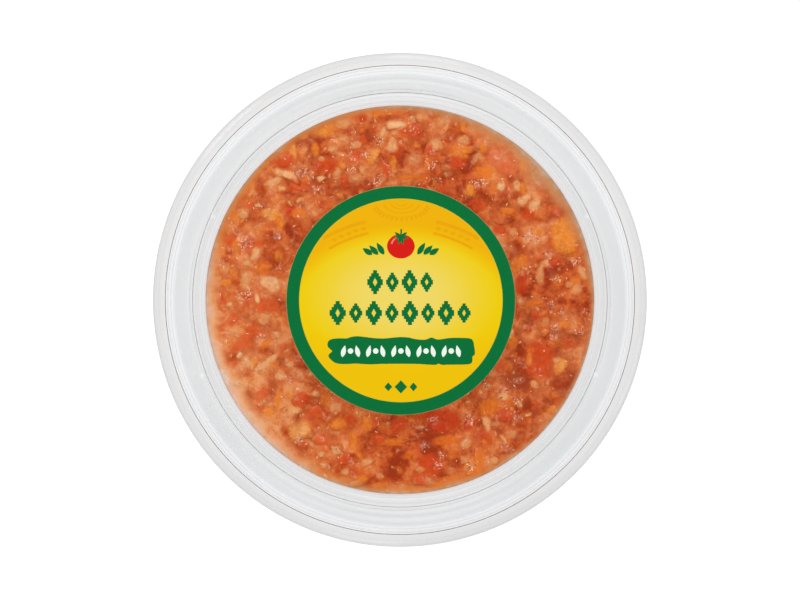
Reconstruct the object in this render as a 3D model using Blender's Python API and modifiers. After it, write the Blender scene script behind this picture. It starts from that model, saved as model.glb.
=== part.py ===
"""A shut, clear plastic tub of pico de gallo: the tub, its press-on lid, the round sticker and the salsa.

Metres, +Z up. The origin is the middle of the tub's foot ring, on the surface that it stands on.
"""
import math
import random

import bmesh
import bpy
from mathutils import Euler, Matrix, Vector

MM = 0.001

# Driving dimensions, in millimetres
OUTER_RADIUS = 59.0           # outer edge of the lid's brim
SEGMENTS = 44                 # sides of every turned piece
GAP = 0.3                     # clearance between pieces that touch
TUB_WALL = 0.7
LID_WALL = 0.45
LABEL_RADIUS = 27.3
LABEL_THICKNESS = 0.25
LABEL_SHIFT = (0.23, -0.14)   # the sticker sits a little off centre

# Heights of the middle of each wall, in millimetres
FOOT_Z = TUB_WALL / 2
BASE_RECESS = 1.3             # how far the base panel is pushed up inside the foot ring
SALSA_LEVEL = 20.7            # mean height of the salsa's top
LEDGE_Z = 22.9                # stacking ledge inside the tub
FLANGE_Z = 26.3               # sealing flange
RIM_Z = 29.6                  # top of the lid's raised rim band
PANEL_Z = FLANGE_Z + TUB_WALL / 2 + GAP + LID_WALL / 2
BRIM_Z = 24.6                 # outer brim of the lid
CORNER_Z = FOOT_Z + 2.4       # top of the rounded corner between the base and the wall

# Radii of the middle of each wall, in millimetres
FOOT_INNER = 39.4
FOOT_OUTER = 42.6
FLOOR_RADIUS = 44.3
WALL_AT_LEDGE = 47.35
UPPER_WALL_LOW = 48.35
UPPER_WALL_TOP = 49.1
FLANGE_LIP = 55.05
RECESS_LOW = 49.55            # foot of the wall round the lid's sunken panel
RECESS_TOP = 50.3
CROWN = 53.85                 # where the rim band's inner slope meets its flat top
SKIRT = 56.13 - LID_WALL / 2

# Chopped vegetables fused on the salsa, in millimetres
CORE_DROP = 0.75              # the core's flat top lies this far below the mean level
CORE_INSET = 0.55             # and its side this far inside the clearance to the tub
TOP_PIECES = 225
SIDE_PIECES = 54
SIDE_BAND = (4.6, 18.2)       # heights of the pieces that show through the side
PIECE_LENGTH = (2.6, 5.2)
PIECE_WIDTH = (0.55, 0.95)    # share of the length
PIECE_HEIGHT = (0.5, 0.8)
PIECE_LIFT = (-0.4, 0.3)      # height of a piece's middle over the core's top
PIECE_TILT = 0.45             # most that a piece leans, in radians
GOLDEN_ANGLE = math.pi * (3 - math.sqrt(5))

# The largest pieces that show: x, y, length, width and turn in degrees
LARGE_PIECES = [
    (39.7, 15.6, 7.6, 5.4, 75),
    (33.5, -14.4, 8.4, 6.0, -70),
    (27.0, 29.0, 8.0, 5.0, 30),
    (-31.3, -13.9, 8.0, 2.2, 35),
    (-31.1, 19.5, 6.0, 4.4, -20),
    (12.0, 38.2, 6.2, 3.8, 5),
    (-12.5, -38.0, 6.4, 4.2, 60),
    (-28.4, 30.6, 5.0, 2.2, -40),
]
LARGE_HEIGHT = 2.6
PIECE_SEED = 11


def clear_scene():
    """Removes every object that the file opened with."""
    for obj in list(bpy.data.objects):
        bpy.data.objects.remove(obj, do_unlink=True)


def make_collection(name):
    """Makes a collection in the scene."""
    collection = bpy.data.collections.new(name)
    bpy.context.scene.collection.children.link(collection)
    return collection


def make_material(name, colour, roughness, alpha=1.0):
    """Makes a plain Principled material."""
    material = bpy.data.materials.new(name)
    material.use_nodes = True
    shader = material.node_tree.nodes["Principled BSDF"]
    shader.inputs["Base Color"].default_value = (*colour, 1.0)
    shader.inputs["Roughness"].default_value = roughness
    shader.inputs["Metallic"].default_value = 0.0
    shader.inputs["Alpha"].default_value = alpha
    return material


def rounded(corners, steps=1):
    """Turns corners (r, z, radius) into an open line of points, with an arc at each rounded corner."""
    points = []
    for index, (r, z, radius) in enumerate(corners):
        here = Vector((r, z))
        if radius == 0 or index in (0, len(corners) - 1):
            points.append(here)
            continue
        back = (Vector(corners[index - 1][:2]) - here).normalized()
        ahead = (Vector(corners[index + 1][:2]) - here).normalized()
        half = back.angle(ahead) / 2
        reach = radius / math.tan(half)
        centre = here + (back + ahead).normalized() * (radius / math.sin(half))
        start = here + back * reach - centre
        sweep = math.pi - 2 * half
        if back.x * ahead.y - back.y * ahead.x > 0:
            sweep = -sweep
        for step in range(steps + 1):
            angle = sweep * step / steps
            points.append(centre + Matrix.Rotation(angle, 2) @ start)
    return points


def offset(points, distance):
    """Moves an open line of points sideways, to the left of its direction, with mitred corners."""
    moved = []
    last = len(points) - 1
    for index, point in enumerate(points):
        before = (point - points[index - 1]).normalized() if index > 0 else None
        after = (points[index + 1] - point).normalized() if index < last else None
        before = before or after
        after = after or before
        along = (before + after).normalized()
        normal = Vector((-along.y, along.x))
        reach = distance / max(normal.dot(Vector((-before.y, before.x))), 0.5)
        moved.append(point + normal * reach)
    moved[0].x = max(moved[0].x, 0.0)
    return moved


def turn(name, section, material, collection):
    """Turns a section about the Z axis; it runs down its outer side, from the axis to the axis."""
    mesh = bpy.data.meshes.new(name)
    edges = [(i, i + 1) for i in range(len(section) - 1)]
    mesh.from_pydata([(point.x * MM, 0.0, point.y * MM) for point in section], edges, [])
    obj = bpy.data.objects.new(name, mesh)
    collection.objects.link(obj)
    obj.data.materials.append(material)
    screw = obj.modifiers.new("Turn", "SCREW")
    screw.axis = "Z"
    screw.angle = 2 * math.pi
    screw.steps = SEGMENTS
    screw.render_steps = SEGMENTS
    screw.use_merge_vertices = True
    screw.merge_threshold = 0.00001
    screw.use_smooth_shade = True
    return obj


def shell(points, thickness):
    """Gives the closed section of a thin wall round its middle line, which starts on the axis."""
    upper = offset(points, thickness / 2)
    lower = offset(points, -thickness / 2)
    return upper + lower[::-1]


def tub_line():
    """Middle line of the tub's wall, from the axis out to the flange's lip."""
    return rounded([
        (0.0, FOOT_Z + BASE_RECESS, 0),
        (FOOT_INNER, FOOT_Z + BASE_RECESS, 1.2),
        (FOOT_INNER + 1.1, FOOT_Z, 1.2),
        (FOOT_OUTER, FOOT_Z, 1.4),
        (FLOOR_RADIUS, CORNER_Z, 3.0),
        (WALL_AT_LEDGE, LEDGE_Z, 0.8),
        (UPPER_WALL_LOW, LEDGE_Z + 0.25, 0.6),
        (UPPER_WALL_TOP, FLANGE_Z, 0.8),
        (FLANGE_LIP, FLANGE_Z, 0.8),
        (FLANGE_LIP, FLANGE_Z - 1.6, 0),
    ])


def lid_line():
    """Middle line of the lid's wall, from the axis out to the brim's edge."""
    return rounded([
        (0.0, PANEL_Z, 0),
        (RECESS_LOW - 0.1, PANEL_Z, 0.5),
        (RECESS_TOP - 0.1, RIM_Z - 0.2, 0.6),
        (CROWN, RIM_Z, 0),
        (SKIRT, RIM_Z, 0.6),
        (SKIRT, BRIM_Z, 0.5),
        (OUTER_RADIUS - 1.4, BRIM_Z, 0),
        (OUTER_RADIUS - LID_WALL / 2, BRIM_Z - 0.35, 0),
        (OUTER_RADIUS - LID_WALL / 2, BRIM_Z - 1.0, 0),
    ])


def salsa_section(inset):
    """Section of the salsa's body: the tub's inside, kept clear of the wall by the gap and an inset."""
    inside = offset(tub_line(), TUB_WALL / 2 + GAP)
    level = SALSA_LEVEL - CORE_DROP
    floor = [point for point in inside if point.y < level]
    end = inside[len(floor)]
    share = (level - floor[-1].y) / (end.y - floor[-1].y)
    rim = floor[-1].lerp(end, share)
    body = [
        Vector((point.x - inset, point.y)) if point.y > CORNER_Z else point
        for point in floor + [rim]
    ]
    return [Vector((0.0, level))] + body[::-1]


def wall_radius(z):
    """Largest radius that a piece of salsa may reach at a height, clear of the tub."""
    inside = offset(tub_line(), TUB_WALL / 2 + GAP)
    wall = [point for point in inside if point.x > FOOT_OUTER - 1.0]
    for low, high in zip(wall, wall[1:]):
        if low.y <= z <= high.y:
            return low.lerp(high, (z - low.y) / (high.y - low.y)).x
    return wall[0].x


def chopped_piece(name, size, centre, turn_angles, rng, collection):
    """Makes one roughly cut die, kept inside the tub's clearance, as a closed mesh of few sides."""
    shape = bmesh.new()
    bmesh.ops.create_cube(shape, size=1.0)
    bmesh.ops.triangulate(shape, faces=shape.faces[:])
    turned = Euler(turn_angles).to_matrix()
    flat = math.cos(math.pi / SEGMENTS)
    for vert in shape.verts:
        rough = Vector([axis * rng.uniform(0.78, 1.12) for axis in vert.co])
        place = turned @ Vector([rough[i] * size[i] for i in range(3)]) + Vector(centre)
        limit = wall_radius(place.z) * flat - 0.02
        radius = math.hypot(place.x, place.y)
        if radius > limit:
            place.x *= limit / radius
            place.y *= limit / radius
        vert.co = place * MM
    mesh = bpy.data.meshes.new(name)
    shape.to_mesh(mesh)
    shape.free()
    obj = bpy.data.objects.new(name, mesh)
    obj.hide_render = True
    obj.display_type = "WIRE"
    collection.objects.link(obj)
    return obj


def scatter_pieces(collection):
    """Spreads the pieces evenly over the salsa's top and side, the largest first."""
    rng = random.Random(PIECE_SEED)
    level = SALSA_LEVEL - CORE_DROP
    taken = []
    for x, y, length, width, degrees in LARGE_PIECES:
        size = (length, width, LARGE_HEIGHT)
        tilt = (rng.uniform(-0.12, 0.12), rng.uniform(-0.12, 0.12), math.radians(degrees))
        chopped_piece("piece", size, (x, y, level), tilt, rng, collection)
        taken.append((x, y, length / 2 + 0.6))
    top_radius = wall_radius(level) - 1.6
    for index in range(TOP_PIECES):
        radius = top_radius * math.sqrt((index + 0.5) / TOP_PIECES)
        angle = index * GOLDEN_ANGLE
        x = radius * math.cos(angle) + rng.uniform(-0.6, 0.6)
        y = radius * math.sin(angle) + rng.uniform(-0.6, 0.6)
        length = rng.uniform(*PIECE_LENGTH)
        height = length * rng.uniform(*PIECE_HEIGHT)
        size = (length, length * rng.uniform(*PIECE_WIDTH), height)
        tilt = (rng.uniform(-PIECE_TILT, PIECE_TILT), rng.uniform(-PIECE_TILT, PIECE_TILT), rng.uniform(0, math.tau))
        lift = rng.uniform(*PIECE_LIFT)
        if any(math.hypot(x - tx, y - ty) < reach for tx, ty, reach in taken):
            continue
        chopped_piece("piece", size, (x, y, level + lift), tilt, rng, collection)
    for index in range(SIDE_PIECES):
        share = (index * 0.618034) % 1.0
        z = SIDE_BAND[0] + (SIDE_BAND[1] - SIDE_BAND[0]) * share
        angle = math.tau * (index + rng.uniform(-0.2, 0.2)) / SIDE_PIECES
        length = rng.uniform(*PIECE_LENGTH)
        size = (2.0, length, length * rng.uniform(*PIECE_WIDTH))
        radius = wall_radius(z) - 0.9
        centre = (radius * math.cos(angle), radius * math.sin(angle), z)
        chopped_piece("piece", size, centre, (rng.uniform(-0.6, 0.6), 0.0, angle), rng, collection)


def build_tub(collection):
    """The clear tub: base with a foot ring, sloping wall, stacking ledge and sealing flange."""
    clear = make_material("tub_clear_plastic", (0.90, 0.92, 0.93), 0.12, 0.35)
    return turn("tub", shell(tub_line(), TUB_WALL), clear, collection)


def build_lid(collection):
    """The clear press-on lid: sunken panel, raised rim band, skirt and brim."""
    clear = make_material("lid_clear_plastic", (0.92, 0.94, 0.95), 0.08, 0.3)
    return turn("lid", shell(lid_line(), LID_WALL), clear, collection)


def build_label(collection):
    """The round sticker on the lid's panel."""
    paper = make_material("label_print", (0.80, 0.55, 0.03), 0.45)
    bottom = PANEL_Z + LID_WALL / 2 + GAP
    bpy.ops.mesh.primitive_cylinder_add(
        vertices=SEGMENTS,
        radius=LABEL_RADIUS * MM,
        depth=LABEL_THICKNESS * MM,
        location=(LABEL_SHIFT[0] * MM, LABEL_SHIFT[1] * MM, (bottom + LABEL_THICKNESS / 2) * MM),
    )
    label = bpy.context.object
    label.name = "label"
    for holder in list(label.users_collection):
        holder.objects.unlink(label)
    collection.objects.link(label)
    label.data.materials.append(paper)
    return label


def build_salsa(collection):
    """The salsa: a body up to its level, with the chopped pieces that show fused on."""
    red = make_material("salsa_chopped_tomato", (0.52, 0.14, 0.05), 0.3)
    salsa = turn("salsa", salsa_section(CORE_INSET), red, collection)
    pieces = make_collection("pieces")
    scatter_pieces(pieces)
    fuse = salsa.modifiers.new("Fuse", "BOOLEAN")
    fuse.operation = "UNION"
    fuse.operand_type = "COLLECTION"
    fuse.collection = pieces
    fuse.solver = "MANIFOLD"
    graph = bpy.context.evaluated_depsgraph_get()
    fused = bpy.data.meshes.new_from_object(salsa.evaluated_get(graph))
    fused.name = "salsa"
    salsa.modifiers.clear()
    salsa.data = fused
    for obj in list(pieces.objects):
        bpy.data.objects.remove(obj, do_unlink=True)
    bpy.data.collections.remove(pieces)
    keep_largest(salsa)
    salsa.data.shade_smooth()
    salsa.data.set_sharp_from_angle(angle=math.radians(30))
    return salsa


def keep_largest(obj):
    """Drops loose scraps and the faces of sealed hollows: only the largest shell stays."""
    shape = bmesh.new()
    shape.from_mesh(obj.data)
    groups = []
    seen = set()
    for face in shape.faces:
        if face.index in seen:
            continue
        group = []
        queue = [face]
        seen.add(face.index)
        while queue:
            current = queue.pop()
            group.append(current)
            for edge in current.edges:
                for other in edge.link_faces:
                    if other.index not in seen:
                        seen.add(other.index)
                        queue.append(other)
        groups.append(group)
    groups.sort(key=len, reverse=True)
    extra = [face for group in groups[1:] for face in group]
    bmesh.ops.delete(shape, geom=extra, context="FACES")
    shape.to_mesh(obj.data)
    shape.free()


def main():
    """Builds the four pieces."""
    clear_scene()
    collection = make_collection("pico_de_gallo_tub")
    build_tub(collection)
    build_lid(collection)
    build_label(collection)
    build_salsa(collection)


main()
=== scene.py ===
"""Looks of a shut, clear plastic tub of pico de gallo, seen from straight above."""
import itertools
import math

import bpy
import numpy as np
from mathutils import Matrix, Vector
from mathutils.bvhtree import BVHTree


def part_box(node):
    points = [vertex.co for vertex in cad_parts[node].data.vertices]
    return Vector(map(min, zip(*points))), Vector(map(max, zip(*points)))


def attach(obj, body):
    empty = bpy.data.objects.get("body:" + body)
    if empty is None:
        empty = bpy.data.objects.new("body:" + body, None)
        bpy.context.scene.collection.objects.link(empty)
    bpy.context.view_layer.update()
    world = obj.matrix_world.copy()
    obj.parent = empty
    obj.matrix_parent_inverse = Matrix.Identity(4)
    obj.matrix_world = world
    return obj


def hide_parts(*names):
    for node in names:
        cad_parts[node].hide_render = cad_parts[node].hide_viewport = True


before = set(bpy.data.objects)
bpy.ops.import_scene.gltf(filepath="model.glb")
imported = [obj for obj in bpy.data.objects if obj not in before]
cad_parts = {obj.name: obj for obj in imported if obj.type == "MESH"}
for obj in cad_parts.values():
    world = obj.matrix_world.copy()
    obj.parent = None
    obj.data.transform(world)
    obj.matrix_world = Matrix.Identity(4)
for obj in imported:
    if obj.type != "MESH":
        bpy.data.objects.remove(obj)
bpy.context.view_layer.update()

MM = 0.001

# Sizes read from the frame, in millimetres
LID_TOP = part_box("lid")[1].z / MM
LID_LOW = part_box("lid")[0].z / MM
OUTER_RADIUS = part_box("lid")[1].x / MM
LABEL_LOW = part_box("label")[0] / MM
LABEL_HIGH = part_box("label")[1] / MM
LABEL_CENTRE = ((LABEL_LOW.x + LABEL_HIGH.x) / 2, (LABEL_LOW.y + LABEL_HIGH.y) / 2)
LABEL_RADIUS = (LABEL_HIGH.x - LABEL_LOW.x) / 2

# The walls' middle lines, in millimetres, the same as in the solids
TUB_WALL = 0.7
LID_WALL = 0.45
FOOT_Z = TUB_WALL / 2
BASE_RECESS = 1.3
CORNER_Z = FOOT_Z + 2.4
SALSA_LEVEL = 20.7
LEDGE_Z = 22.9
FLANGE_Z = 26.3
RIM_Z = LID_TOP - LID_WALL / 2
PANEL_Z = FLANGE_Z + TUB_WALL / 2 + 0.3 + LID_WALL / 2
BRIM_Z = LID_LOW + 1.0
FOOT_INNER = 39.4
FOOT_OUTER = 42.6
FLOOR_RADIUS = 44.3
WALL_AT_LEDGE = 47.35
UPPER_WALL_LOW = 48.35
UPPER_WALL_TOP = 49.1
FLANGE_LIP = 55.05
RECESS_LOW = 49.55
RECESS_TOP = 50.3
CROWN = 53.85
SKIRT = 56.13 - LID_WALL / 2
BRIM_BEAD = 57.6
FOLD = 50.05
LAND_HALF_WIDTH = 18.07
LAND_OUTER = 52.9
TURN_STEPS = 360

# The photograph's frame
PHOTO_WIDTH_PX = 800
OUTER_RADIUS_PX = 246.9
LENS = 180.0
SENSOR = 36.0


# Materials

def grey(value):
    """A neutral colour."""
    return (value, value, value, 1)


class Graph:
    """The node tree of a material or of the world, built one node at a time."""

    def __init__(self, owner):
        owner.use_nodes = True
        self.owner = owner
        self.nodes = owner.node_tree.nodes
        self.links = owner.node_tree.links
        self.nodes.clear()
        self.coords = self.node("TexCoord").outputs

    def node(self, kind, inputs=None, **settings):
        """A node of a kind with its settings, and with sockets or plain values in its inputs."""
        node = self.nodes.new(f"ShaderNode{kind}")
        for name, value in settings.items():
            setattr(node, name, value)
        for key, value in (inputs or {}).items():
            if isinstance(value, bpy.types.NodeSocket):
                self.links.new(value, node.inputs[key])
            else:
                node.inputs[key].default_value = value
        return node

    def math(self, operation, *values):
        """A sum, product or other operation on sockets or numbers."""
        return self.node("Math", dict(enumerate(values)), operation=operation).outputs["Value"]

    def mix(self, factor, first, second):
        """One colour turning into another."""
        inputs = {"Factor": factor, "A": first, "B": second}
        return self.node("Mix", inputs, data_type="RGBA").outputs["Result"]

    def ranged(self, value, low, high, to_low=0.0, to_high=1.0):
        """A value moved from one range to another, and held inside it."""
        inputs = {"Value": value, "From Min": low, "From Max": high, "To Min": to_low, "To Max": to_high}
        return self.node("MapRange", inputs).outputs["Result"]

    def ramp(self, value, stops):
        """A colour ramp with stops (position, colour)."""
        node = self.node("ValToRGB", {"Fac": value})
        elements = node.color_ramp.elements
        while len(elements) < len(stops):
            elements.new(0.5)
        for element, (position, colour) in zip(elements, stops):
            element.position = position
            element.color = colour
        return node.outputs["Color"]

    def noise(self, per_mm, detail=3.0, roughness=0.55, distortion=0.0, place=None):
        """Noise with features of about 1/per_mm millimetres."""
        if place is None:
            place = self.coords["Object"]
        inputs = {
            "Vector": place, "Scale": per_mm / MM, "Detail": detail, "Roughness": roughness,
            "Distortion": distortion,
        }
        return self.node("TexNoise", inputs).outputs["Fac"]

    def attribute(self, name):
        """A value stored at each point of the mesh."""
        return self.node("Attribute", attribute_name=name).outputs["Fac"]

    def ray(self, kind):
        """1 for a kind of ray and 0 for all others."""
        return self.node("LightPath").outputs[kind]

    def bump(self, height, distance_mm, strength, below=None):
        """A bump of a height in millimetres, on top of another where one is given."""
        inputs = {"Height": height, "Distance": distance_mm * MM, "Strength": strength}
        if below is not None:
            inputs["Normal"] = below
        return self.node("Bump", inputs).outputs["Normal"]

    def upward(self, normal, lift):
        """A normal turned part of the way upwards, for a surface that light passes through softly."""
        total = self.node("VectorMath", {0: normal, 1: (0, 0, lift)}, operation="ADD")
        unit = self.node("VectorMath", {0: total.outputs["Vector"]}, operation="NORMALIZE")
        return unit.outputs["Vector"]

    def shader(self, kind, inputs=None):
        """A surface shader of a kind."""
        return self.node("Bsdf" + kind, inputs).outputs["BSDF"]

    def blend(self, factor, first, second):
        """One shader turning into another."""
        return self.node("MixShader", {"Fac": factor, 1: first, 2: second}).outputs["Shader"]

    def finish(self, surface, output="OutputMaterial"):
        """Gives the surface to the output, and gives back the material or the world."""
        self.node(output, {"Surface": surface})
        return self.owner


def new_graph(name):
    """The empty node tree of a new material."""
    return Graph(bpy.data.materials.new(name))


HAZE = grey(0.484)
HAZE_SCATTER = 0.4            # share of the plastic's haze that scatters light, and the rest dims it
MIRROR_LEAST = 0.004          # how strongly plastic mirrors when seen straight on
MIRROR_MORE = 0.08            # and how much more when seen edge-on
LIT_THROUGH = (0.985, 0.987, 0.99, 1)


def clear_plastic(name, clear, edge_grey, edge):
    """Thin clear plastic: tinted, a little milky where "haze" says so, and dark where seen edge-on."""
    graph = new_graph(name)
    grazing = graph.node("LayerWeight", {"Blend": 0.5}).outputs["Facing"]
    steep = graph.math("POWER", grazing, 3.0)
    steep = graph.math("MULTIPLY", steep, graph.attribute("edge"))
    steep = graph.math("MULTIPLY", steep, edge)
    mirrored = graph.math("POWER", grazing, 5.0)
    mirrored = graph.math("MULTIPLY_ADD", mirrored, MIRROR_MORE, MIRROR_LEAST)
    waves = graph.bump(graph.noise(0.1, 2.0), 0.2, 0.3)
    tint = {"Color": HAZE}
    milky = graph.blend(HAZE_SCATTER, graph.shader("Transparent", tint), graph.shader("Diffuse", tint))
    wall = graph.blend(graph.attribute("haze"), graph.shader("Transparent", {"Color": clear}), milky)
    wall = graph.blend(steep, wall, graph.shader("Diffuse", {"Color": grey(edge_grey)}))
    wall = graph.blend(mirrored, wall, graph.shader("Glossy", {"Roughness": 0.1, "Normal": waves}))
    lit = graph.shader("Transparent", {"Color": LIT_THROUGH})
    return graph.finish(graph.blend(graph.ray("Is Shadow Ray"), wall, lit))


# What happens to a surface's red, green and blue before they are seen: what is added, the share that comes
# through, and the least and the most that a surface may have. Foods lie in juice under the lid, inks on it.
FOOD_LIGHT = ((0.008, 0.01, 0.012), (0.997, 0.956, 0.905), (0.003, 0.98))
INK_LIGHT = ((0.002, 0.002, 0.002), (1.14, 1.14, 1.14), (0.002, 0.95))


def surface_colour(light, values):
    """Surface colour that looks like an 8-bit display colour in a light."""
    veil, share, limits = light
    parts = [v / 255 for v in values]
    linear = [v / 12.92 if v <= 0.04045 else ((v + 0.055) / 1.055) ** 2.4 for v in parts]
    return (*[float(np.clip((c - v) / s, *limits)) for c, v, s in zip(linear, veil, share)], 1.0)


def ink(*values):
    """Ink colour that looks like an 8-bit display colour."""
    return surface_colour(INK_LIGHT, values)


def tones(light, *rows):
    """Stops of a colour ramp from rows of a position and the display colour there."""
    return [(position, surface_colour(light, colour)) for position, *colour in rows]


RED_PULP = tones(
    FOOD_LIGHT,
    (0.0, 158, 56, 29), (0.25, 182, 74, 37), (0.5, 202, 94, 48), (0.75, 214, 112, 59), (1.0, 224, 134, 77),
)
PALE_PULP = tones(
    FOOD_LIGHT,
    (0.0, 166, 74, 44), (0.25, 184, 88, 51), (0.5, 202, 107, 62), (0.75, 216, 129, 79), (1.0, 229, 153, 101),
)
TOMATO_TONES = tones(
    FOOD_LIGHT, (0.0, 193, 54, 26), (0.35, 206, 77, 38), (0.7, 218, 98, 52), (1.0, 218, 122, 80),
)
ORANGE_TONES = tones(
    FOOD_LIGHT, (0.0, 214, 99, 40), (0.4, 226, 121, 46), (0.7, 233, 140, 56), (1.0, 228, 151, 84),
)
ONION_TONES = tones(FOOD_LIGHT, (0.0, 210, 126, 75), (0.5, 224, 150, 94), (1.0, 235, 176, 122))
# Flecks' colours, from dark ones that paint shade in small hollows to pale ones that paint glints
FLECK_GLINT_AND_SHADE_TONES = tones(
    FOOD_LIGHT, (0.0, 156, 62, 36), (0.3, 180, 82, 48), (0.45, 224, 130, 90), (1.0, 250, 196, 162),
)
# Thin juice against the wall, from its inner side to the wall: olive, orange and peach, growing pale at the
# wall with painted light that comes in through the tub
OLIVE_JUICE_AND_WALL_LIGHT = tones(
    FOOD_LIGHT,
    (0.0, 204, 116, 72), (0.3, 203, 122, 77), (0.6, 201, 132, 84), (0.8, 201, 146, 104), (1.0, 207, 177, 150),
)
ORANGE_JUICE_AND_WALL_LIGHT = tones(
    FOOD_LIGHT,
    (0.0, 214, 110, 55), (0.35, 218, 119, 60), (0.6, 221, 130, 68), (0.8, 218, 145, 88), (1.0, 208, 166, 130),
)
PEACH_JUICE_AND_WALL_LIGHT = tones(
    FOOD_LIGHT,
    (0.0, 222, 134, 82), (0.3, 228, 152, 100), (0.5, 231, 163, 113), (0.75, 232, 178, 138),
    (1.0, 229, 202, 184),
)

# The food's noises: features per millimetre, detail, roughness and distortion
FOOD_NOISES = {
    "wide": (0.16, 2.0, 0.5, 0.4),
    "middle": (0.42, 2.0, 0.55, 0.6),
    "small": (1.5, 3.0, 0.6, 0.3),
    "fine": (3.0, 2.0),
    "cloud": (0.7, 3.0, 0.6),
    "paler": (0.27, 2.0, 0.55, 0.5),
    "ruffled": (0.3, 2.0, 0.6, 0.8),
    "lumps": (1.1, 3.0, 0.55),
}
PULP_SHARES = {"wide": 1.9, "middle": 1.5, "small": 0.62, "fine": 0.32}
PULP_LEVEL = 1.68             # what is taken off the sum of the pulp's noises
CLOUDINESS = 0.8              # how much a piece's tone changes over it
GLINT = (1.0, 0.74, 0.54, 1)


def pulp_colour(graph, noise):
    """The mash's colour, from deep to pale, redder in some parts and browner in others."""
    region = graph.attribute("region")
    total = 0.0
    for name, share in PULP_SHARES.items():
        total = graph.math("MULTIPLY_ADD", noise[name], share, total)
    total = graph.math("ADD", total, region)
    total = graph.math("SUBTRACT", total, PULP_LEVEL)
    paler = graph.math("MULTIPLY_ADD", region, 0.5, noise["paler"])
    paler = graph.math("ADD", paler, graph.attribute("brown"))
    paler = graph.ranged(paler, 0.42, 0.68)
    return graph.mix(paler, graph.ramp(total, RED_PULP), graph.ramp(total, PALE_PULP))


def piece_colour(graph, noise, tone, stops):
    """A piece's colour by the tone stored for it, a little cloudy and changed by its region."""
    tone = graph.math("MULTIPLY_ADD", noise["cloud"], CLOUDINESS, graph.attribute(tone))
    tone = graph.math("MULTIPLY_ADD", graph.attribute("region"), 0.6, tone)
    return graph.ramp(graph.math("SUBTRACT", tone, CLOUDINESS / 2), stops)


def add_pieces(graph, noise, colour, own_tones, clean):
    """Tints the pulp over sunken pieces, and shows the piece itself where it is bare."""
    worn = graph.math("MULTIPLY_ADD", noise["small"], 2.0, -0.05)
    for kind, stops in (("red", TOMATO_TONES), ("orange", ORANGE_TONES), ("onion", ONION_TONES)):
        share = graph.math("MULTIPLY", graph.attribute(kind), worn)
        below = piece_colour(graph, noise, "under_tone", stops)
        colour = graph.mix(graph.ranged(share, 0.0, 1.0), colour, below)
    worn = graph.math("ADD", worn, clean)
    bare = graph.math("MULTIPLY", graph.attribute("bare"), worn)
    bare = graph.ranged(bare, 0.0, 0.9, 0.0, 0.92)
    return graph.mix(bare, colour, piece_colour(graph, noise, "tone", own_tones))


def add_juice_and_wall_light(graph, noise, colour):
    """Covers the food next to the wall with thin juice: olive, orange or peach, paled towards the wall by
    painted light coming through it.
    """
    fringe = graph.attribute("fringe")
    stirred = graph.math("MULTIPLY_ADD", noise["middle"], 0.6, fringe)
    stirred = graph.math("SUBTRACT", stirred, 0.3)
    juice = graph.ramp(stirred, OLIVE_JUICE_AND_WALL_LIGHT)
    for low, stops in ((0.0, ORANGE_JUICE_AND_WALL_LIGHT), (0.5, PEACH_JUICE_AND_WALL_LIGHT)):
        share = graph.ranged(graph.attribute("fringe_tone"), low, low + 0.5)
        juice = graph.mix(share, juice, graph.ramp(stirred, stops))
    uneven = graph.math("MULTIPLY", graph.math("ADD", noise["cloud"], 0.5), fringe)
    return graph.mix(graph.ranged(uneven, 0.0, 0.6, 0.0, 0.9), colour, juice)


def wet_surface(graph, noise, colour, gloss):
    """Soft food under a film of juice, which glints where it is ruffled."""
    ruffled = graph.ranged(noise["ruffled"], 0.57, 0.65, 0.0, 0.8)
    ruffled = graph.math("MAXIMUM", ruffled, graph.attribute("wet"))
    lumps = graph.bump(noise["lumps"], 0.3, 0.35)
    soft = graph.shader("Principled", {
        "Base Color": colour,
        "Subsurface Weight": 0.35,
        "Subsurface Radius": (1.0, 0.5, 0.3),
        "Subsurface Scale": 0.9 * MM,
        "Roughness": 0.5,
        "Specular IOR Level": 0.1,
        "Normal": graph.upward(lumps, 0.6),
    })
    drawn_out = graph.node("Mapping", {"Vector": graph.coords["Object"], "Scale": (1.0, 0.6, 1.0)})
    film = graph.noise(2.3, 1.0, 0.5, 0.8, drawn_out.outputs["Vector"])
    shine = graph.shader("Glossy", {
        "Color": GLINT,
        "Roughness": graph.ranged(ruffled, 0.0, 1.0, 0.25, 0.12),
        "Normal": graph.bump(film, 0.22, graph.ranged(ruffled, 0.0, 1.0, 0.1, 1.0), lumps),
    })
    return graph.blend(graph.ranged(ruffled, 0.0, 1.0, 0.012, gloss), soft, shine)


def wet_food(name, own_tones, gloss, clean=0.0):
    """Wet chopped food. A piece fades into the pulp where it is covered, and sunken pieces tint the pulp."""
    graph = new_graph(name)
    noise = {size: graph.noise(*numbers) for size, numbers in FOOD_NOISES.items()}
    colour = pulp_colour(graph, noise)
    colour = add_pieces(graph, noise, colour, own_tones, clean)
    colour = add_juice_and_wall_light(graph, noise, colour)
    return graph.finish(wet_surface(graph, noise, colour, gloss))


def fleck_material(name):
    """Tiny shreds with painted glints or painted shade, each in its own tone."""
    graph = new_graph(name)
    colour = graph.ramp(graph.attribute("tone"), FLECK_GLINT_AND_SHADE_TONES)
    inputs = {"Base Color": colour, "Roughness": 0.4, "Specular IOR Level": 0.2}
    return graph.finish(graph.shader("Principled", inputs))


def inked_paper(graph, colour, passing):
    """Coated paper under a flat ink. A share of the light that falls on it passes to the food below."""
    grain = graph.bump(graph.noise(1.1, 4.0), 0.03, 0.4)
    inputs = {"Base Color": colour, "Roughness": 0.6, "Specular IOR Level": 0.03, "Normal": grain}
    share = graph.math("MAXIMUM", graph.ray("Is Shadow Ray"), graph.ray("Is Diffuse Ray"))
    share = graph.math("MULTIPLY", share, passing)
    return graph.finish(graph.blend(share, graph.shader("Principled", inputs), graph.shader("Transparent")))


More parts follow.
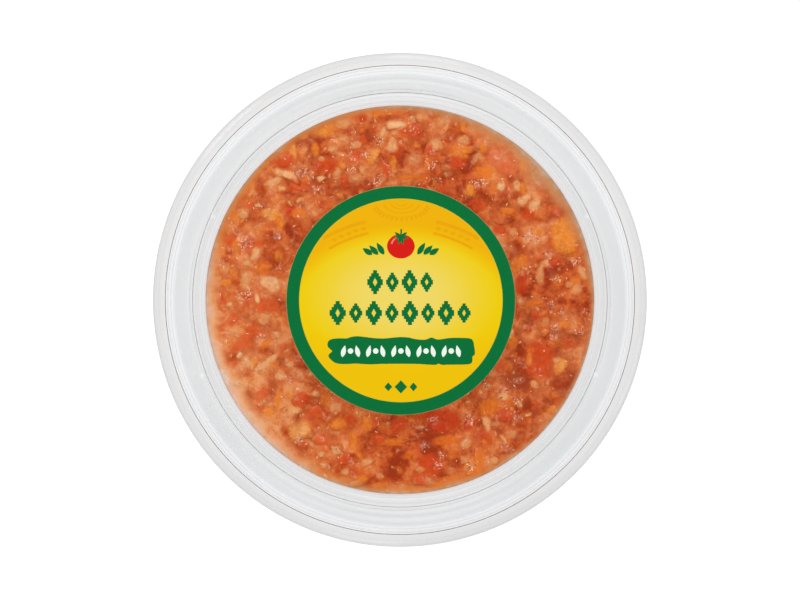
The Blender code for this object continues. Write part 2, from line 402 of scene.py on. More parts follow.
def print_ink(name, values, passing=1.0):
    """Flat, very slightly mottled ink on the sticker."""
    graph = new_graph(name)
    colour = ink(*values)
    darker, lighter = ((*[min(c * share, 1.0) for c in colour[:3]], 1.0) for share in (0.96, 1.04))
    return inked_paper(graph, graph.ramp(graph.noise(2.2), [(0.3, darker), (0.7, lighter)]), passing)


def label_distance(graph, centre, stretch=1.0):
    """Distance from a point of the sticker in millimetres, with Y stretched."""
    x = LABEL_CENTRE[0] + centre[0]
    y = LABEL_CENTRE[1] + centre[1]
    place = graph.node("Mapping", {
        "Vector": graph.coords["Object"],
        "Location": (-x, -y * stretch, 0),
        "Scale": (1 / MM, stretch / MM, 0),
    })
    return graph.node("VectorMath", {0: place.outputs["Vector"]}, operation="LENGTH").outputs["Value"]


ARC_CENTRE = (0, -17.3)       # centre of the field's wide arc
GOLDEN = tones(
    INK_LIGHT,
    (0.0, 237, 213, 100), (0.35, 237, 209, 78), (0.55, 237, 206, 56), (0.8, 236, 204, 32),
    (1.0, 237, 201, 12),
)


def field_ink(name):
    """The sticker's field: pale yellow in the middle, golden at the sides, orange above a wide arc."""
    graph = new_graph(name)
    outwards = graph.ranged(label_distance(graph, (0, 0.9), 1.5), 8.0, 24.0)
    downwards = graph.ranged(label_distance(graph, (0, 40)), 51.0, 57.0)
    above_arc = graph.ranged(label_distance(graph, ARC_CENTRE), 31.5, 35.5)
    colour = graph.mix(downwards, graph.ramp(outwards, GOLDEN), ink(237, 192, 12))
    colour = graph.mix(above_arc, colour, ink(236, 176, 15))
    return inked_paper(graph, colour, 1.0)


# Mesh helpers

def make_object(name, verts, faces, material, smooth=True):
    """A mesh object from arrays in millimetres."""
    mesh = bpy.data.meshes.new(name)
    mesh.from_pydata((np.asarray(verts) * MM).tolist(), [], faces)
    mesh.materials.append(material)
    if smooth:
        mesh.shade_smooth()
    mesh.validate()
    obj = bpy.data.objects.new(name, mesh)
    bpy.context.scene.collection.objects.link(obj)
    return obj


def keep(obj, node, replaces=True):
    """Registers a piece with the frame."""
    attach(obj, "root")
    if replaces:
        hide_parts(node)
    return obj


def store(obj, **values):
    """Stores a number at each point under the name that the material reads."""
    for name, numbers in values.items():
        attribute = obj.data.attributes.new(name, "FLOAT", "POINT")
        attribute.data.foreach_set("value", np.asarray(numbers, np.float32))


def points_of(obj):
    """An object's points in millimetres."""
    points = np.empty(len(obj.data.vertices) * 3)
    obj.data.vertices.foreach_get("co", points)
    return points.reshape(-1, 3) / MM


def heading(degrees):
    """Unit step along a direction in degrees."""
    return math.cos(math.radians(degrees)), math.sin(math.radians(degrees))


def along_and_across(gap_x, gap_y, degrees):
    """Distances along a direction and across it."""
    c, s = heading(degrees)
    return gap_x * c + gap_y * s, gap_y * c - gap_x * s


def rounded(corners, arc_mm=0.12):
    """Turns corners (r, z, radius) into an open line of points, with an arc at each rounded corner."""
    points = []
    for index, (r, z, radius) in enumerate(corners):
        here = np.array((r, z), float)
        if radius == 0 or index in (0, len(corners) - 1):
            points.append(here)
            continue
        back = np.array(corners[index - 1][:2]) - here
        ahead = np.array(corners[index + 1][:2]) - here
        back /= np.linalg.norm(back)
        ahead /= np.linalg.norm(ahead)
        half = math.acos(np.clip(back @ ahead, -1, 1)) / 2
        middle = (back + ahead) / np.linalg.norm(back + ahead)
        centre = here + middle * radius / math.sin(half)
        start = here + back * radius / math.tan(half) - centre
        sweep = math.pi - 2 * half
        if back[0] * ahead[1] - back[1] * ahead[0] > 0:
            sweep = -sweep
        steps = max(3, int(abs(sweep) * radius / arc_mm))
        for step in range(steps + 1):
            a = sweep * step / steps
            turned_start = (
                start[0] * math.cos(a) - start[1] * math.sin(a),
                start[0] * math.sin(a) + start[1] * math.cos(a),
            )
            points.append(centre + turned_start)
    return np.array(points)


def offset(points, distance):
    """Moves an open line of points to the left of its direction, with mitred corners."""
    along = np.diff(points, axis=0)
    along /= np.linalg.norm(along, axis=1)[:, None]
    before = np.vstack([along[:1], along])
    after = np.vstack([along, along[-1:]])
    mean = before + after
    mean /= np.linalg.norm(mean, axis=1)[:, None]
    normal = np.stack([-mean[:, 1], mean[:, 0]], axis=1)
    straight = np.stack([-before[:, 1], before[:, 0]], axis=1)
    reach = distance / np.maximum((normal * straight).sum(axis=1), 0.5)
    moved = points + normal * reach[:, None]
    moved[0, 0] = 0.0
    return moved


def shell(points, thickness):
    """Closed section of a thin wall round its middle line, with a rounded outer edge."""
    upper = offset(points, thickness / 2)
    lower = offset(points, -thickness / 2)
    end = points[-1]
    along = points[-1] - points[-2]
    along = along / np.linalg.norm(along)
    across = upper[-1] - end
    cap = [
        end + across * math.cos(a) + along * math.sin(a) * thickness / 2
        for a in np.linspace(0, math.pi, 7)[1:-1]
    ]
    return np.vstack([upper, cap, lower[::-1]])


def cut_up(points, low, longest):
    """Adds points to an open line beyond a radius, so that none of its parts is longer than a length."""
    result = [points[0]]
    for start, end in zip(points[:-1], points[1:]):
        parts = math.ceil(np.linalg.norm(end - start) / longest) if start[0] >= low else 1
        result.extend(start + (end - start) * k / parts for k in range(1, parts + 1))
    return np.array(result)


def turned_points(line, steps):
    """Points of a line (r, z) turned about the axis, one row of them for each point of the line."""
    angles = np.linspace(0, math.tau, steps, endpoint=False)
    return np.stack([
        np.outer(line[:, 0], np.cos(angles)),
        np.outer(line[:, 0], np.sin(angles)),
        np.repeat(line[:, 1][:, None], steps, axis=1),
    ], axis=2).reshape(-1, 3)


def faces_between(rows, steps, closed=False):
    """Faces from each row of turned points to the next, and from the last to the first if closed."""
    row = np.arange(rows if closed else rows - 1)[:, None] * steps
    next_row = (row + steps) % (rows * steps)
    here = np.arange(steps)[None, :]
    after = (here + 1) % steps
    quads = np.stack([row + here, next_row + here, next_row + after, row + after], axis=2)
    return quads.reshape(-1, 4).tolist()


def turned(name, section, material, steps=TURN_STEPS, reshape=None, smooth=True):
    """Turns a section (r, z), from the axis down its outer side to the axis, into a closed mesh."""
    rows = len(section) - 2
    poles = [(0, 0, section[0, 1]), (0, 0, section[-1, 1])]
    verts = np.vstack([turned_points(section[1:-1], steps), poles])
    if reshape is not None:
        verts = reshape(verts)
    faces = faces_between(rows, steps)
    top, bottom = rows * steps, rows * steps + 1
    last = (rows - 1) * steps
    for i in range(steps):
        j = (i + 1) % steps
        faces.append([top, i, j])
        faces.append([bottom, last + j, last + i])
    return make_object(name, verts, faces, material, smooth)


def eased(part):
    """A smooth rise from 0 to 1 for parts from 0 to 1."""
    return part * part * (3 - 2 * part)


def step_up(values, low, high):
    """0 below low, 1 above high and a smooth rise between."""
    return eased(np.clip((np.asarray(values, float) - low) / (high - low), 0, 1))


NOISE_CELLS = 32
NOISE_SHIFT = 7.31            # how far the noise's cells lie from the axis, in cells


def value_noise(points, size, seed):
    """Smooth noise from 0 to 1 over points, with features of a size in millimetres."""
    table = np.random.default_rng(seed).random((NOISE_CELLS, NOISE_CELLS, NOISE_CELLS))
    place = np.asarray(points) / size + NOISE_SHIFT
    low = np.floor(place).astype(int)
    part = eased(place - low)
    total = np.zeros(len(place))
    for corner in itertools.product((0, 1), repeat=3):
        x, y, z = np.where(corner, part, 1 - part).T
        total += x * y * z * table[tuple(((low + corner) % NOISE_CELLS).T)]
    return total


# The tub and its lid

# How much the tub greys what lies behind it: radius in millimetres and share
TUB_HAZE = [(45.0, 0.01), (47.0, 0.03), (49.0, 0.04), (50.5, 0.03)]

HAZE_FROM = 46.6              # radius from which the lid's plastic greys what lies behind it
LID_POINTS_FROM = 46.5        # radius from which the lid has close points, to carry its haze
LID_POINT_STEP = 0.3
BEAD_HEIGHT = 0.12
LAND_DEPTH = 0.22
LAND_EDGE = 0.3               # half the width of the slope at a land's ends


def tub_line():
    """Middle line of the tub's wall, from the axis out to the flange's lip."""
    base_z = FOOT_Z + BASE_RECESS
    return rounded([
        (0.0, base_z, 0),
        (FOOT_INNER, base_z, 1.2),
        (FOOT_INNER + 1.1, FOOT_Z, 1.2),
        (FOOT_OUTER, FOOT_Z, 1.4),
        (FLOOR_RADIUS, CORNER_Z, 3.0),
        (WALL_AT_LEDGE, LEDGE_Z, 0.8),
        (UPPER_WALL_LOW, LEDGE_Z + 0.25, 0.6),
        (UPPER_WALL_TOP, FLANGE_Z, 0.8),
        (FLANGE_LIP, FLANGE_Z, 0.8),
        (FLANGE_LIP, FLANGE_Z - 1.6, 0),
    ])


def lid_line():
    """Middle line of the lid's wall, from the axis out to the brim's edge."""
    edge = OUTER_RADIUS - LID_WALL / 2
    return rounded([
        (0.0, PANEL_Z, 0),
        (HAZE_FROM, PANEL_Z, 0),
        (HAZE_FROM + 1.0, PANEL_Z, 0),
        (RECESS_LOW - 0.05, PANEL_Z, 0.3),
        (RECESS_LOW + 0.05, RIM_Z - 0.2, 0.4),
        (FOLD, RIM_Z - 0.2, 0),
        (FOLD + 0.2, RIM_Z - 0.19, 0),
        (LAND_OUTER - 0.3, RIM_Z - 0.07, 0),
        (LAND_OUTER, RIM_Z - 0.06, 0),
        (CROWN, RIM_Z, 0),
        (SKIRT - 0.26, RIM_Z, 0.42),
        (SKIRT - 0.16, BRIM_Z, 0.5),
        (BRIM_BEAD - 0.35, BRIM_Z, 0.2),
        (BRIM_BEAD, BRIM_Z + BEAD_HEIGHT, 0.2),
        (BRIM_BEAD + 0.35, BRIM_Z, 0.2),
        (edge, BRIM_Z - 0.3, 0.35),
        (edge, LID_LOW + LID_WALL / 2, 0),
    ])


def add_lands(verts):
    """Lowers the lid's crown a little over two narrow stacking lands, left and right."""
    radius = np.hypot(verts[:, 0], verts[:, 1])
    within = 1 - step_up(np.abs(verts[:, 1]), LAND_HALF_WIDTH - LAND_EDGE, LAND_HALF_WIDTH + LAND_EDGE)
    within *= step_up(radius, RECESS_TOP - 0.5, RECESS_TOP)
    within *= 1 - step_up(radius, LAND_OUTER - 0.25, LAND_OUTER)
    within *= step_up(verts[:, 2], PANEL_Z + 0.9, PANEL_Z + 1.4)
    verts[:, 2] -= LAND_DEPTH * within
    return verts


def build_tub():
    """The clear tub."""
    clear = clear_plastic("tub_plastic", (0.975, 0.987, 0.992, 1), 0.4, 0.3)
    tub = turned("clear_tub", shell(tub_line(), TUB_WALL), clear)
    radius = np.hypot(*points_of(tub)[:, :2].T)
    store(tub, haze=np.interp(radius, *zip(*TUB_HAZE)), edge=np.ones(len(radius)))
    keep(tub, "tub")


# How much the lid greys what lies behind it: radius in millimetres, share, its change at both the top and the
# bottom of the view, where reflections of light caught in rings are painted in, and what the top has over the
# bottom
LID_HAZE = [
    (46.6, 0, 0, 0), (47.1, 0.1, 0, 0.03), (47.6, 0.2, -0.03, 0.055), (47.9, 0.205, -0.075, 0),
    (48.1, 0.155, -0.09, 0), (48.4, 0.15, -0.02, 0.01), (48.7, 0.155, -0.095, -0.035),
    (48.95, 0.135, -0.075, -0.02), (49.2, 0.12, -0.03, 0.03), (49.45, 0.137, -0.025, 0.06),
    (49.8, 0.16, -0.015, 0.025), (50.0, 0.165, 0.03, 0.035), (50.3, 0.185, 0.015, 0.068),
    (50.6, 0.2, -0.025, 0.068), (51.1, 0.22, -0.005, 0.02), (51.5, 0.23, 0.015, -0.01),
    (52.1, 0.235, -0.095, 0.02), (52.6, 0.24, -0.02, 0.07), (53.3, 0.24, 0, 0), (53.8, 0.16, 0, 0),
    (54.1, 0.1, 0, 0), (54.5, 0.12, 0, 0), (54.8, 0.14, 0, 0), (54.95, 0.11, 0, 0), (55.15, 0.07, 0, 0),
    (55.4, 0.08, 0, 0), (55.7, 0.18, 0, 0), (56.3, 0.25, 0, 0), (57.4, 0.28, 0, 0), (57.6, 0.31, 0, 0),
    (57.8, 0.3, 0, 0), (58.5, 0.31, 0, 0), (59.0, 0.36, 0, 0),
]

# Painted highlights, as less haze, where the ends of the stacking lands catch the light: direction in
# degrees, radius in millimetres
LAND_GLINTS = [(-21, 49.6), (-159, 50.4), (24, 48.8), (156, 48.8)]
GLINT_REACH = 0.8
GLINT_STRENGTH = 0.14
# The haze of the fold round the recess, least at the diagonals and most along X and Y
FOLD_HAZE = 0.05
FOLD_HAZE_MORE = 0.25
# How dark the lid's walls are edge-on: inside the recess, outside it, and on the lower face
RECESS_DARK = 0.85
SKIRT_DARK = 1.0
LOWER_DARK = 0.12


def lid_haze(x, y):
    """How milky the lid is at places seen from above, with painted reflections and highlights worked into it.
    """
    radius = np.hypot(x, y)
    rings, shares, both, over = zip(*LID_HAZE)
    lobe = np.maximum(-np.cos(2 * np.arctan2(y, x)), 0) ** 1.5
    haze = np.interp(radius, rings, shares)
    haze += (np.interp(radius, rings, both) + np.interp(radius, rings, over) * np.sign(y)) * lobe
    for degrees, reach in LAND_GLINTS:
        c, s = heading(degrees)
        away = np.hypot(x - reach * c, y - reach * s)
        haze -= GLINT_STRENGTH * np.maximum(1 - away / GLINT_REACH, 0)
    return np.maximum(haze, 0)


def build_lid():
    """The clear lid, greyer in its crown and brim."""
    clear = clear_plastic("lid_plastic", (0.993, 0.993, 0.994, 1), 0.15, 1.0)
    line = cut_up(lid_line(), LID_POINTS_FROM, LID_POINT_STEP)
    lid = turned("clear_lid", shell(line, LID_WALL), clear, reshape=add_lands)
    x, y = points_of(lid)[:, :2].T
    radius = np.hypot(x, y)
    outer_face = np.arange(len(radius)) // TURN_STEPS < len(line) - 1
    fold = outer_face & (np.abs(radius - FOLD + 0.04) < 0.08)
    fold_haze = FOLD_HAZE + FOLD_HAZE_MORE * np.maximum(np.cos(4 * np.arctan2(y, x)), 0)
    edge = np.where(outer_face, np.where(radius < RECESS_TOP, RECESS_DARK, SKIRT_DARK), LOWER_DARK)
    store(lid, haze=lid_haze(x, y) + fold * fold_haze, edge=edge)
    keep(lid, "lid")


# The salsa

INTO_WALL = 0.06              # how far the pulp reaches into the tub's wall, so that no air gap shows
PIECE_INTO_WALL = 0.11
HEAP_MOST = 0.5               # how far a piece may stand over the salsa's mean level
PULP_DROP = 0.4               # how far the pulp's mean level lies under the salsa's
EDGE_DROP = 0.35              # the same where the pulp meets the wall
TOP_DEPTH = 2.0               # what lies deeper than this below the level isn't on the salsa's top
WALL_DEPTH = 2.5              # what lies nearer than this to the wall is seen from the side
COVERED = -0.04               # how far over the pulp a piece starts to show, and where it is quite bare
BARE = 0.22
JUICE_SINKS = 0.4             # how much deeper a piece lies in the thin juice at the wall
inner_line = offset(tub_line(), TUB_WALL / 2)


def wall_radius(z, into):
    """Radius of the tub's inner wall at each height, plus a reach into the wall."""
    rising = inner_line[inner_line[:, 0] > FOOT_OUTER - 0.4]
    return np.interp(z, rising[:, 1], rising[:, 0]) + into


def floor_height(radius):
    """Height of the tub's inner floor at each radius, the foot ring's channel included."""
    flat = inner_line[inner_line[:, 1] < CORNER_Z]
    return np.interp(radius, flat[:, 0], flat[:, 1])


SALSA_EDGE = float(wall_radius(SALSA_LEVEL, 0))
# Size of the pulp's lumps in millimetres, their height and the noise's seed
PULP_LUMPS = [(5.0, 0.5, 5), (2.1, 0.36, 6), (1.0, 0.16, 7)]


def pulp_relief(x, y):
    """Height of the pulp between the pieces, in millimetres."""
    points = np.stack([x, y, np.zeros_like(x)], axis=1)
    height = SALSA_LEVEL - PULP_DROP
    for size, rise, seed in PULP_LUMPS:
        height = height + rise * (value_noise(points, size, seed) - 0.5)
    close = step_up(np.hypot(x, y), SALSA_EDGE - 2.0, SALSA_EDGE)
    return height * (1 - close) + (SALSA_LEVEL - EDGE_DROP) * close


# Larger pieces: x, y, length, width, direction in degrees and tone from 0, deep, to 1, pale
ONION = [
    (-31.1, 4.1, 5, 3.1, -25, 0.95), (-37.1, 4.8, 4.3, 2.4, 90, 0.35), (-34.7, 11, 3.6, 1.9, 55, 0.65),
    (-36.7, 8.9, 2.2, 1.4, 0, 0.45), (-42.1, 7.9, 2.4, 2.2, 0, 0.15), (-44, 4.3, 2.4, 1.9, 60, 0.3),
    (-28.4, 26.7, 2.2, 1.3, 0, 0.6), (-27.5, 30.2, 5, 1.7, -16, 0.8), (-30.4, 28.4, 4.1, 1.2, 20, 0.6),
    (-37.6, 20.8, 2.6, 2.4, 0, 0.4), (-34.1, 0.2, 2.6, 1.2, 90, 0.85), (-32.8, -4.8, 2.4, 2.2, 30, 0.3),
    (-40, -7.7, 1.9, 1.4, 0, 0.4), (-29.7, -8.4, 2.2, 1.7, 0, 0.4), (-32.1, -15.1, 7.2, 1.4, 36, 0.6),
    (-36.6, -14.8, 3.8, 1.4, -53, 0.5), (-38.5, -13.2, 1.7, 1, 40, 0.8), (-38.1, -20.1, 3.8, 2.4, 20, 0.45),
    (-26.3, -15.8, 1.4, 1.2, 0, 0.5), (-28.7, -18.2, 2.4, 1.9, 30, 0.6), (-25.4, -26.6, 3.1, 1.9, 10, 0.55),
    (-26.6, -21.1, 2.2, 1.9, 0, 0.3), (-20.3, -22.5, 1.4, 1.4, 0, 0.5), (-15.1, -25.6, 2.4, 2.2, 0, 0.3),
    (-15.3, -36.1, 2.4, 1.9, 20, 0.7), (-18.4, -39.5, 1.7, 1, 0, 0.7), (-18.9, -37.1, 1.4, 1.2, 0, 0.4),
    (-7.7, -39, 2.6, 1.4, 30, 0.55), (0.7, -44.8, 1.9, 1.2, 0, 0.6), (8.5, 37.3, 2.9, 2.6, 30, 0.5),
    (10.5, 42.8, 2.9, 2.6, 60, 0.4), (15.3, 38.3, 2.2, 1.9, 0, 0.3), (24.2, 27.2, 1.9, 1.4, 80, 0.9),
    (28.2, 27.5, 2.4, 1.4, 90, 0.6), (29.9, 24.2, 3.4, 1.9, 48, 0.8), (32.2, 22.7, 2.6, 1.7, 35, 0.7),
    (32, 29.4, 2.4, 0.8, -70, 0.6), (27.2, 16.5, 1.9, 1.7, 0, 0.35), (33.7, 6, 4.8, 1.7, 85, 0.35),
    (34.7, 8.9, 2.4, 1.7, 10, 0.45), (43.8, 6.5, 3.8, 1.4, -60, 0.45), (-0.7, 42.2, 5, 1.7, -3, 1),
    (-4.1, 40.2, 3.1, 1.4, 75, 0.6), (-1.8, 37.3, 3.4, 2.4, 80, 0.7), (-10.5, 37.3, 2.9, 1.9, 15, 0.3),
    (-8.9, 30.9, 1.9, 1.4, 90, 0.4), (-10.5, 29.2, 2.9, 1.4, 0, 0.2), (3.6, 34, 2.9, 2.2, 20, 0.25),
    (-15.1, 30.6, 2.6, 1.4, 100, 0.3), (-19.1, 29.1, 1.9, 1.4, 25, 0.7), (-18.7, 34, 1.4, 1.2, 90, 0.3),
    (-16, 36.1, 1.9, 1.4, 20, 0.45), (-13.6, 42.8, 4.1, 2.4, 15, 0.5), (-13.6, 38.8, 1.9, 1.4, -20, 0.35),
    (5.5, 44.3, 2.9, 1.9, 20, 0.35), (2.9, 43.6, 1.7, 1.2, 0, 0.3), (23.2, 38.5, 3.4, 1.2, 5, 0.25),
    (42.6, 2.4, 2.4, 1.9, 60, 0.5), (40.7, 3.8, 1.7, 1.4, 0, 0.3), (34.9, -5.5, 1.9, 1.9, 0, 0.2),
    (37.6, -14.7, 1.7, 1.2, 0, 0.5), (32.3, -20.1, 1.9, 1.4, -40, 0.5), (26.8, -7.9, 1.9, 1.2, 80, 0.6),
    (24.7, -23.2, 2.4, 1.4, 12, 0.75), (20.8, -29.7, 3.6, 1.9, -75, 0.6), (15.8, -34.5, 2.9, 1.7, 35, 0.35),
    (22.7, -38.8, 2.4, 1.9, -30, 0.3), (27, -32.1, 1.9, 1.7, 0, 0.1), (25.1, -33.5, 2.2, 0.8, -60, 0.6),
    (28.7, -24.9, 1.9, 0.8, -65, 0.6), (18.4, 34, 2.9, 1.4, 60, 0.1), (20.8, -20.8, 1.9, 1.2, 20, 0.25),
    (15.6, -38.3, 2.4, 2.2, 0, 0.15), (-20.3, -33, 1.7, 1.2, 0, 0.3), (-34, 22.7, 1.7, 1.2, 0, 0.5),
    (-31.8, -29.9, 2.2, 1.4, 40, 0.4), (-12.9, -41.6, 1.9, 1.2, 20, 0.4), (4.8, -40.7, 1.7, 1.2, 0, 0.3),
    (-24.2, 23.9, 1.7, 1, 40, 0.3), (-11.7, 23.9, 1.4, 1.2, 0, 0.3),
]
ORANGE = [
    (-39.7, 20.3, 2.9, 2.4, 0, 0.4), (-30.9, 20.6, 4.5, 2.9, -10, 1), (-28.7, 19.1, 3.4, 2.2, 90, 0.6),
    (-24.4, 21.1, 2.9, 2.4, 0, 0.4), (-32.6, 7.7, 3.1, 2.9, 0, 0.2), (-23.9, -31.4, 5, 4.1, 30, 0.95),
    (-29.2, -23.9, 4.3, 1.7, 90, 0.4), (-31.6, -27, 3.1, 2.2, 0, 0.4), (-15.1, -29.9, 3.8, 2.2, 10, 0.4),
    (-7.9, -29.7, 3.8, 2.4, 90, 0.5), (-11, -33.5, 3.8, 2.2, 90, 0.4), (-1.4, -34, 4.8, 1.7, 10, 0.3),
    (-10.1, -43.3, 4.3, 1.9, 10, 0.5), (-5, -44.5, 4.3, 1.7, 0, 0.5), (11.2, -33.7, 6.7, 2.2, 5, 0.3),
    (21.5, -25.8, 4.8, 3.8, 20, 0.25), (14.4, 35.7, 4.5, 3.1, 0, 0.45), (20.3, 30.4, 5.5, 2.9, 0, 0.4),
    (16.8, 26.6, 3.1, 2.6, 70, 0.7), (33, 16.3, 2.6, 2.2, 0, 0.4), (28.7, 8.4, 4.3, 3.6, 90, 0.35),
    (39.7, 15.3, 8.6, 6.0, 100, 0.72), (-34.9, -14.6, 2.2, 1.4, 40, 0.5), (-25.6, 35.9, 3.6, 1.9, 88, 0.8),
    (-28.5, 35.9, 1.4, 1.2, 0, 0.8), (-23, 39.7, 2.6, 1.4, 20, 0.7), (-18, 41.2, 5.3, 3.1, 25, 0.6),
    (-20.3, 36.1, 2.9, 1.7, 88, 0.4), (-6.2, 34.7, 3.6, 2.2, 58, 0.8), (-1.4, 32.8, 3.1, 1.4, 85, 0.6),
    (-3.6, 45.2, 7.7, 2.2, 3, 0.3), (4.1, 37.1, 1.7, 1.2, 90, 0.3), (6.7, 32.8, 3.1, 1.4, 85, 0.3),
    (3.4, 29.2, 7.2, 1.4, 0, 0.2), (15.3, 41.6, 2.6, 1.4, 85, 0.5), (19.9, 36.6, 2.4, 1.4, 88, 0.4),
    (29.7, 32.6, 2.9, 1.9, 80, 0.7), (31.6, 32.1, 2.2, 1.4, 80, 0.2), (29.4, 26.8, 2.2, 1.9, 60, 0.3),
    (25.8, 21.3, 4.1, 1.9, 0, 0.2), (42.1, 4.5, 2.6, 1.9, 0, 0.3), (32.1, -0.7, 4.3, 1.9, 5, 0.2),
    (39, -6, 2.6, 1.9, 0, 0.5), (38.5, -15.8, 3.6, 2.6, 60, 0.9), (27, -9.8, 2.9, 1.7, 75, 0.3),
    (31.1, -13.9, 4.3, 1.4, 80, 0.4), (19.1, -38.8, 5.7, 2.6, 80, 0.3), (18, -41.6, 3.8, 1.4, 15, 0.4),
    (12, -43.3, 7.2, 1.7, 10, 0.35), (-35.9, 27.8, 2.4, 1.7, 80, 0.6), (-39.3, 13.2, 3.4, 1.9, 75, 0.3),
    (-43.6, 12, 3.8, 1.7, 80, 0.5), (-44.8, 0, 3.4, 1.4, 90, 0.4), (-41.6, 4.3, 2.4, 1.7, 0, 0.4),
    (-19.1, -41.9, 2.9, 1.7, -20, 0.4), (2.4, -37.1, 3.4, 1.7, 20, 0.2), (-14.4, 25.1, 1.9, 1.4, 0, 0.4),
    (-22.5, 28.7, 2.9, 1.9, 30, 0), (-26.3, -22.7, 1.9, 1.4, 0, 0.3), (-32.3, -10.8, 2.4, 1.7, 30, 0.3),
]
TOMATO = [
    (-32.1, -1.4, 5.3, 3.6, 0, 0.5), (-42.6, 0.5, 2.9, 1.7, 90, 0.3), (-39.3, -11.5, 2.2, 1.7, 0, 0.4),
    (10.3, -29, 7.7, 5.7, 5, 0.25), (26.3, 32.8, 6.2, 5.3, 70, 0.75), (23.2, 34.2, 4.8, 4.3, 0, 0.95),
    (33.5, -14.4, 8.1, 6.7, 80, 0.45), (13.9, 32.8, 4.1, 2.6, 0, 0.45), (-13.2, 28.5, 3.4, 1.9, 85, 0.3),
    (-3.1, 31.1, 4.1, 1.9, 108, 0.4), (-8.9, 43.6, 2.2, 1.4, 85, 0.2), (-10.3, 34.9, 2.9, 2.2, 85, 0.5),
    (29.2, 3.8, 5.3, 2.4, 85, 0.2), (7.2, -39.5, 5.7, 4.8, 0, 0.4), (-23.9, 27.5, 5.3, 3.4, 0, 0.5),
    (-34.7, 12.7, 3.8, 2.9, 30, 0.6), (-40.7, 14.4, 3.4, 2.2, 70, 0.5), (-35.9, 22.7, 2.9, 1.9, 0, 0.5),
    (2.4, 40.7, 5.7, 3.4, 0, 0.35), (-16.8, 32.3, 4.8, 3.4, 0, 0.3), (-26.3, 21.5, 2.9, 2.4, 0, 0.3),
    (37.3, 9.1, 2.9, 1.9, 0, 0.4), (-37.6, -10.3, 4.3, 3.2, 20, 0.6), (25.1, -27.5, 4.3, 2.9, 0, 0.4),
    (0, -29.9, 4.3, 2.9, 20, 0.4), (-4.8, -33.5, 2.9, 2.2, 0, 0.5), (-12, -28.7, 3.4, 2.2, 0, 0.3),
    (-23.9, -23.9, 3.8, 2.9, 30, 0.4), (-19.1, -33.5, 3.8, 2.9, 0, 0.5), (-33, -22.7, 3.4, 2.4, 40, 0.5),
    (-40.2, -4.8, 3.4, 2.4, 60, 0.5), (-35.9, -7.2, 2.9, 2.2, 0, 0.4), (-29.7, 33.5, 3.4, 2.2, 20, 0.4),
    (31.1, 20.3, 3.4, 2.4, 0, 0.3), (23.9, 16.8, 3.4, 2.9, 0, 0.4), (18.7, 22.7, 3.4, 1.9, -30, 0.3),
    (27.5, -2.4, 3.8, 1.9, 85, 0.2), (16.8, -29.9, 3.4, 2.4, 60, 0.3), (7.2, -27.5, 2.9, 1.4, -20, 0.1),
    (-13.2, -38.3, 3.8, 2.4, 20, 0.4),
]
# Painted shade in the hollows between the pieces: x, y, length, width
PAINTED_SHADE_HOLLOWS = [
    (-30.6, 14.8, 4.1, 3.4), (-26.8, 23, 2.4, 1.9), (-26.3, 20.3, 1.9, 1.9), (-41.2, 11.5, 1.9, 2.2),
    (-32.8, -12, 2.4, 1.9), (-42.6, -6.7, 1.9, 1.9), (-28, -3.1, 1.9, 2.4), (-22.3, -23.9, 2.4, 1.9),
    (-27.5, -26.6, 1.9, 1.4), (-27.3, -31.8, 2.4, 1.9), (-8.1, -33, 2.2, 1.9), (-1.2, -39.5, 2.9, 1.9),
    (3.1, -33.5, 2.4, 1.9), (-10.8, -37.1, 2.4, 1.9), (15.8, 32.1, 2.2, 2.9), (29.7, 21.1, 2.4, 1.9),
    (34, 13.2, 2.9, 1.9), (37.1, 6.7, 3.8, 3.4), (19.9, 25.4, 2.9, 2.2), (-33, 27.5, 3.4, 4.3),
    (-4.5, 34.2, 2.9, 1.7), (-0.5, 38.8, 2.4, 2.4), (-10.3, 30.6, 1.9, 1.4), (35.2, -0.5, 2.4, 2.4),
    (30.6, 1.7, 2.9, 1.9), (31.1, -4.8, 5.7, 2.6), (34.9, -8.6, 1.9, 1.9), (39.5, -10.8, 3.8, 1.9),
    (28.7, -12, 1.9, 2.9), (15.1, -24.9, 3.4, 2.2), (5.7, -35.9, 2.4, 1.9), (25.1, -28.7, 2.9, 1.4),
    (20.6, -37.1, 2.9, 1.2), (10.3, 28.7, 2.9, 2.4), (40.2, -0.5, 3.8, 1.4), (-5.3, 29.4, 1.4, 1.2),
    (27.8, 13.6, 2.9, 1.9), (16.8, 35.9, 1.4, 3.4), (-28, 32.1, 3.4, 1.2), (-35.9, 31.8, 1.9, 1.9),
    (-23.9, 17.2, 1.9, 1.9), (45.5, 10.8, 1.4, 1.9), (28.7, -20.3, 3.4, 1.4), (38.3, -20.3, 4.8, 1.9),
]
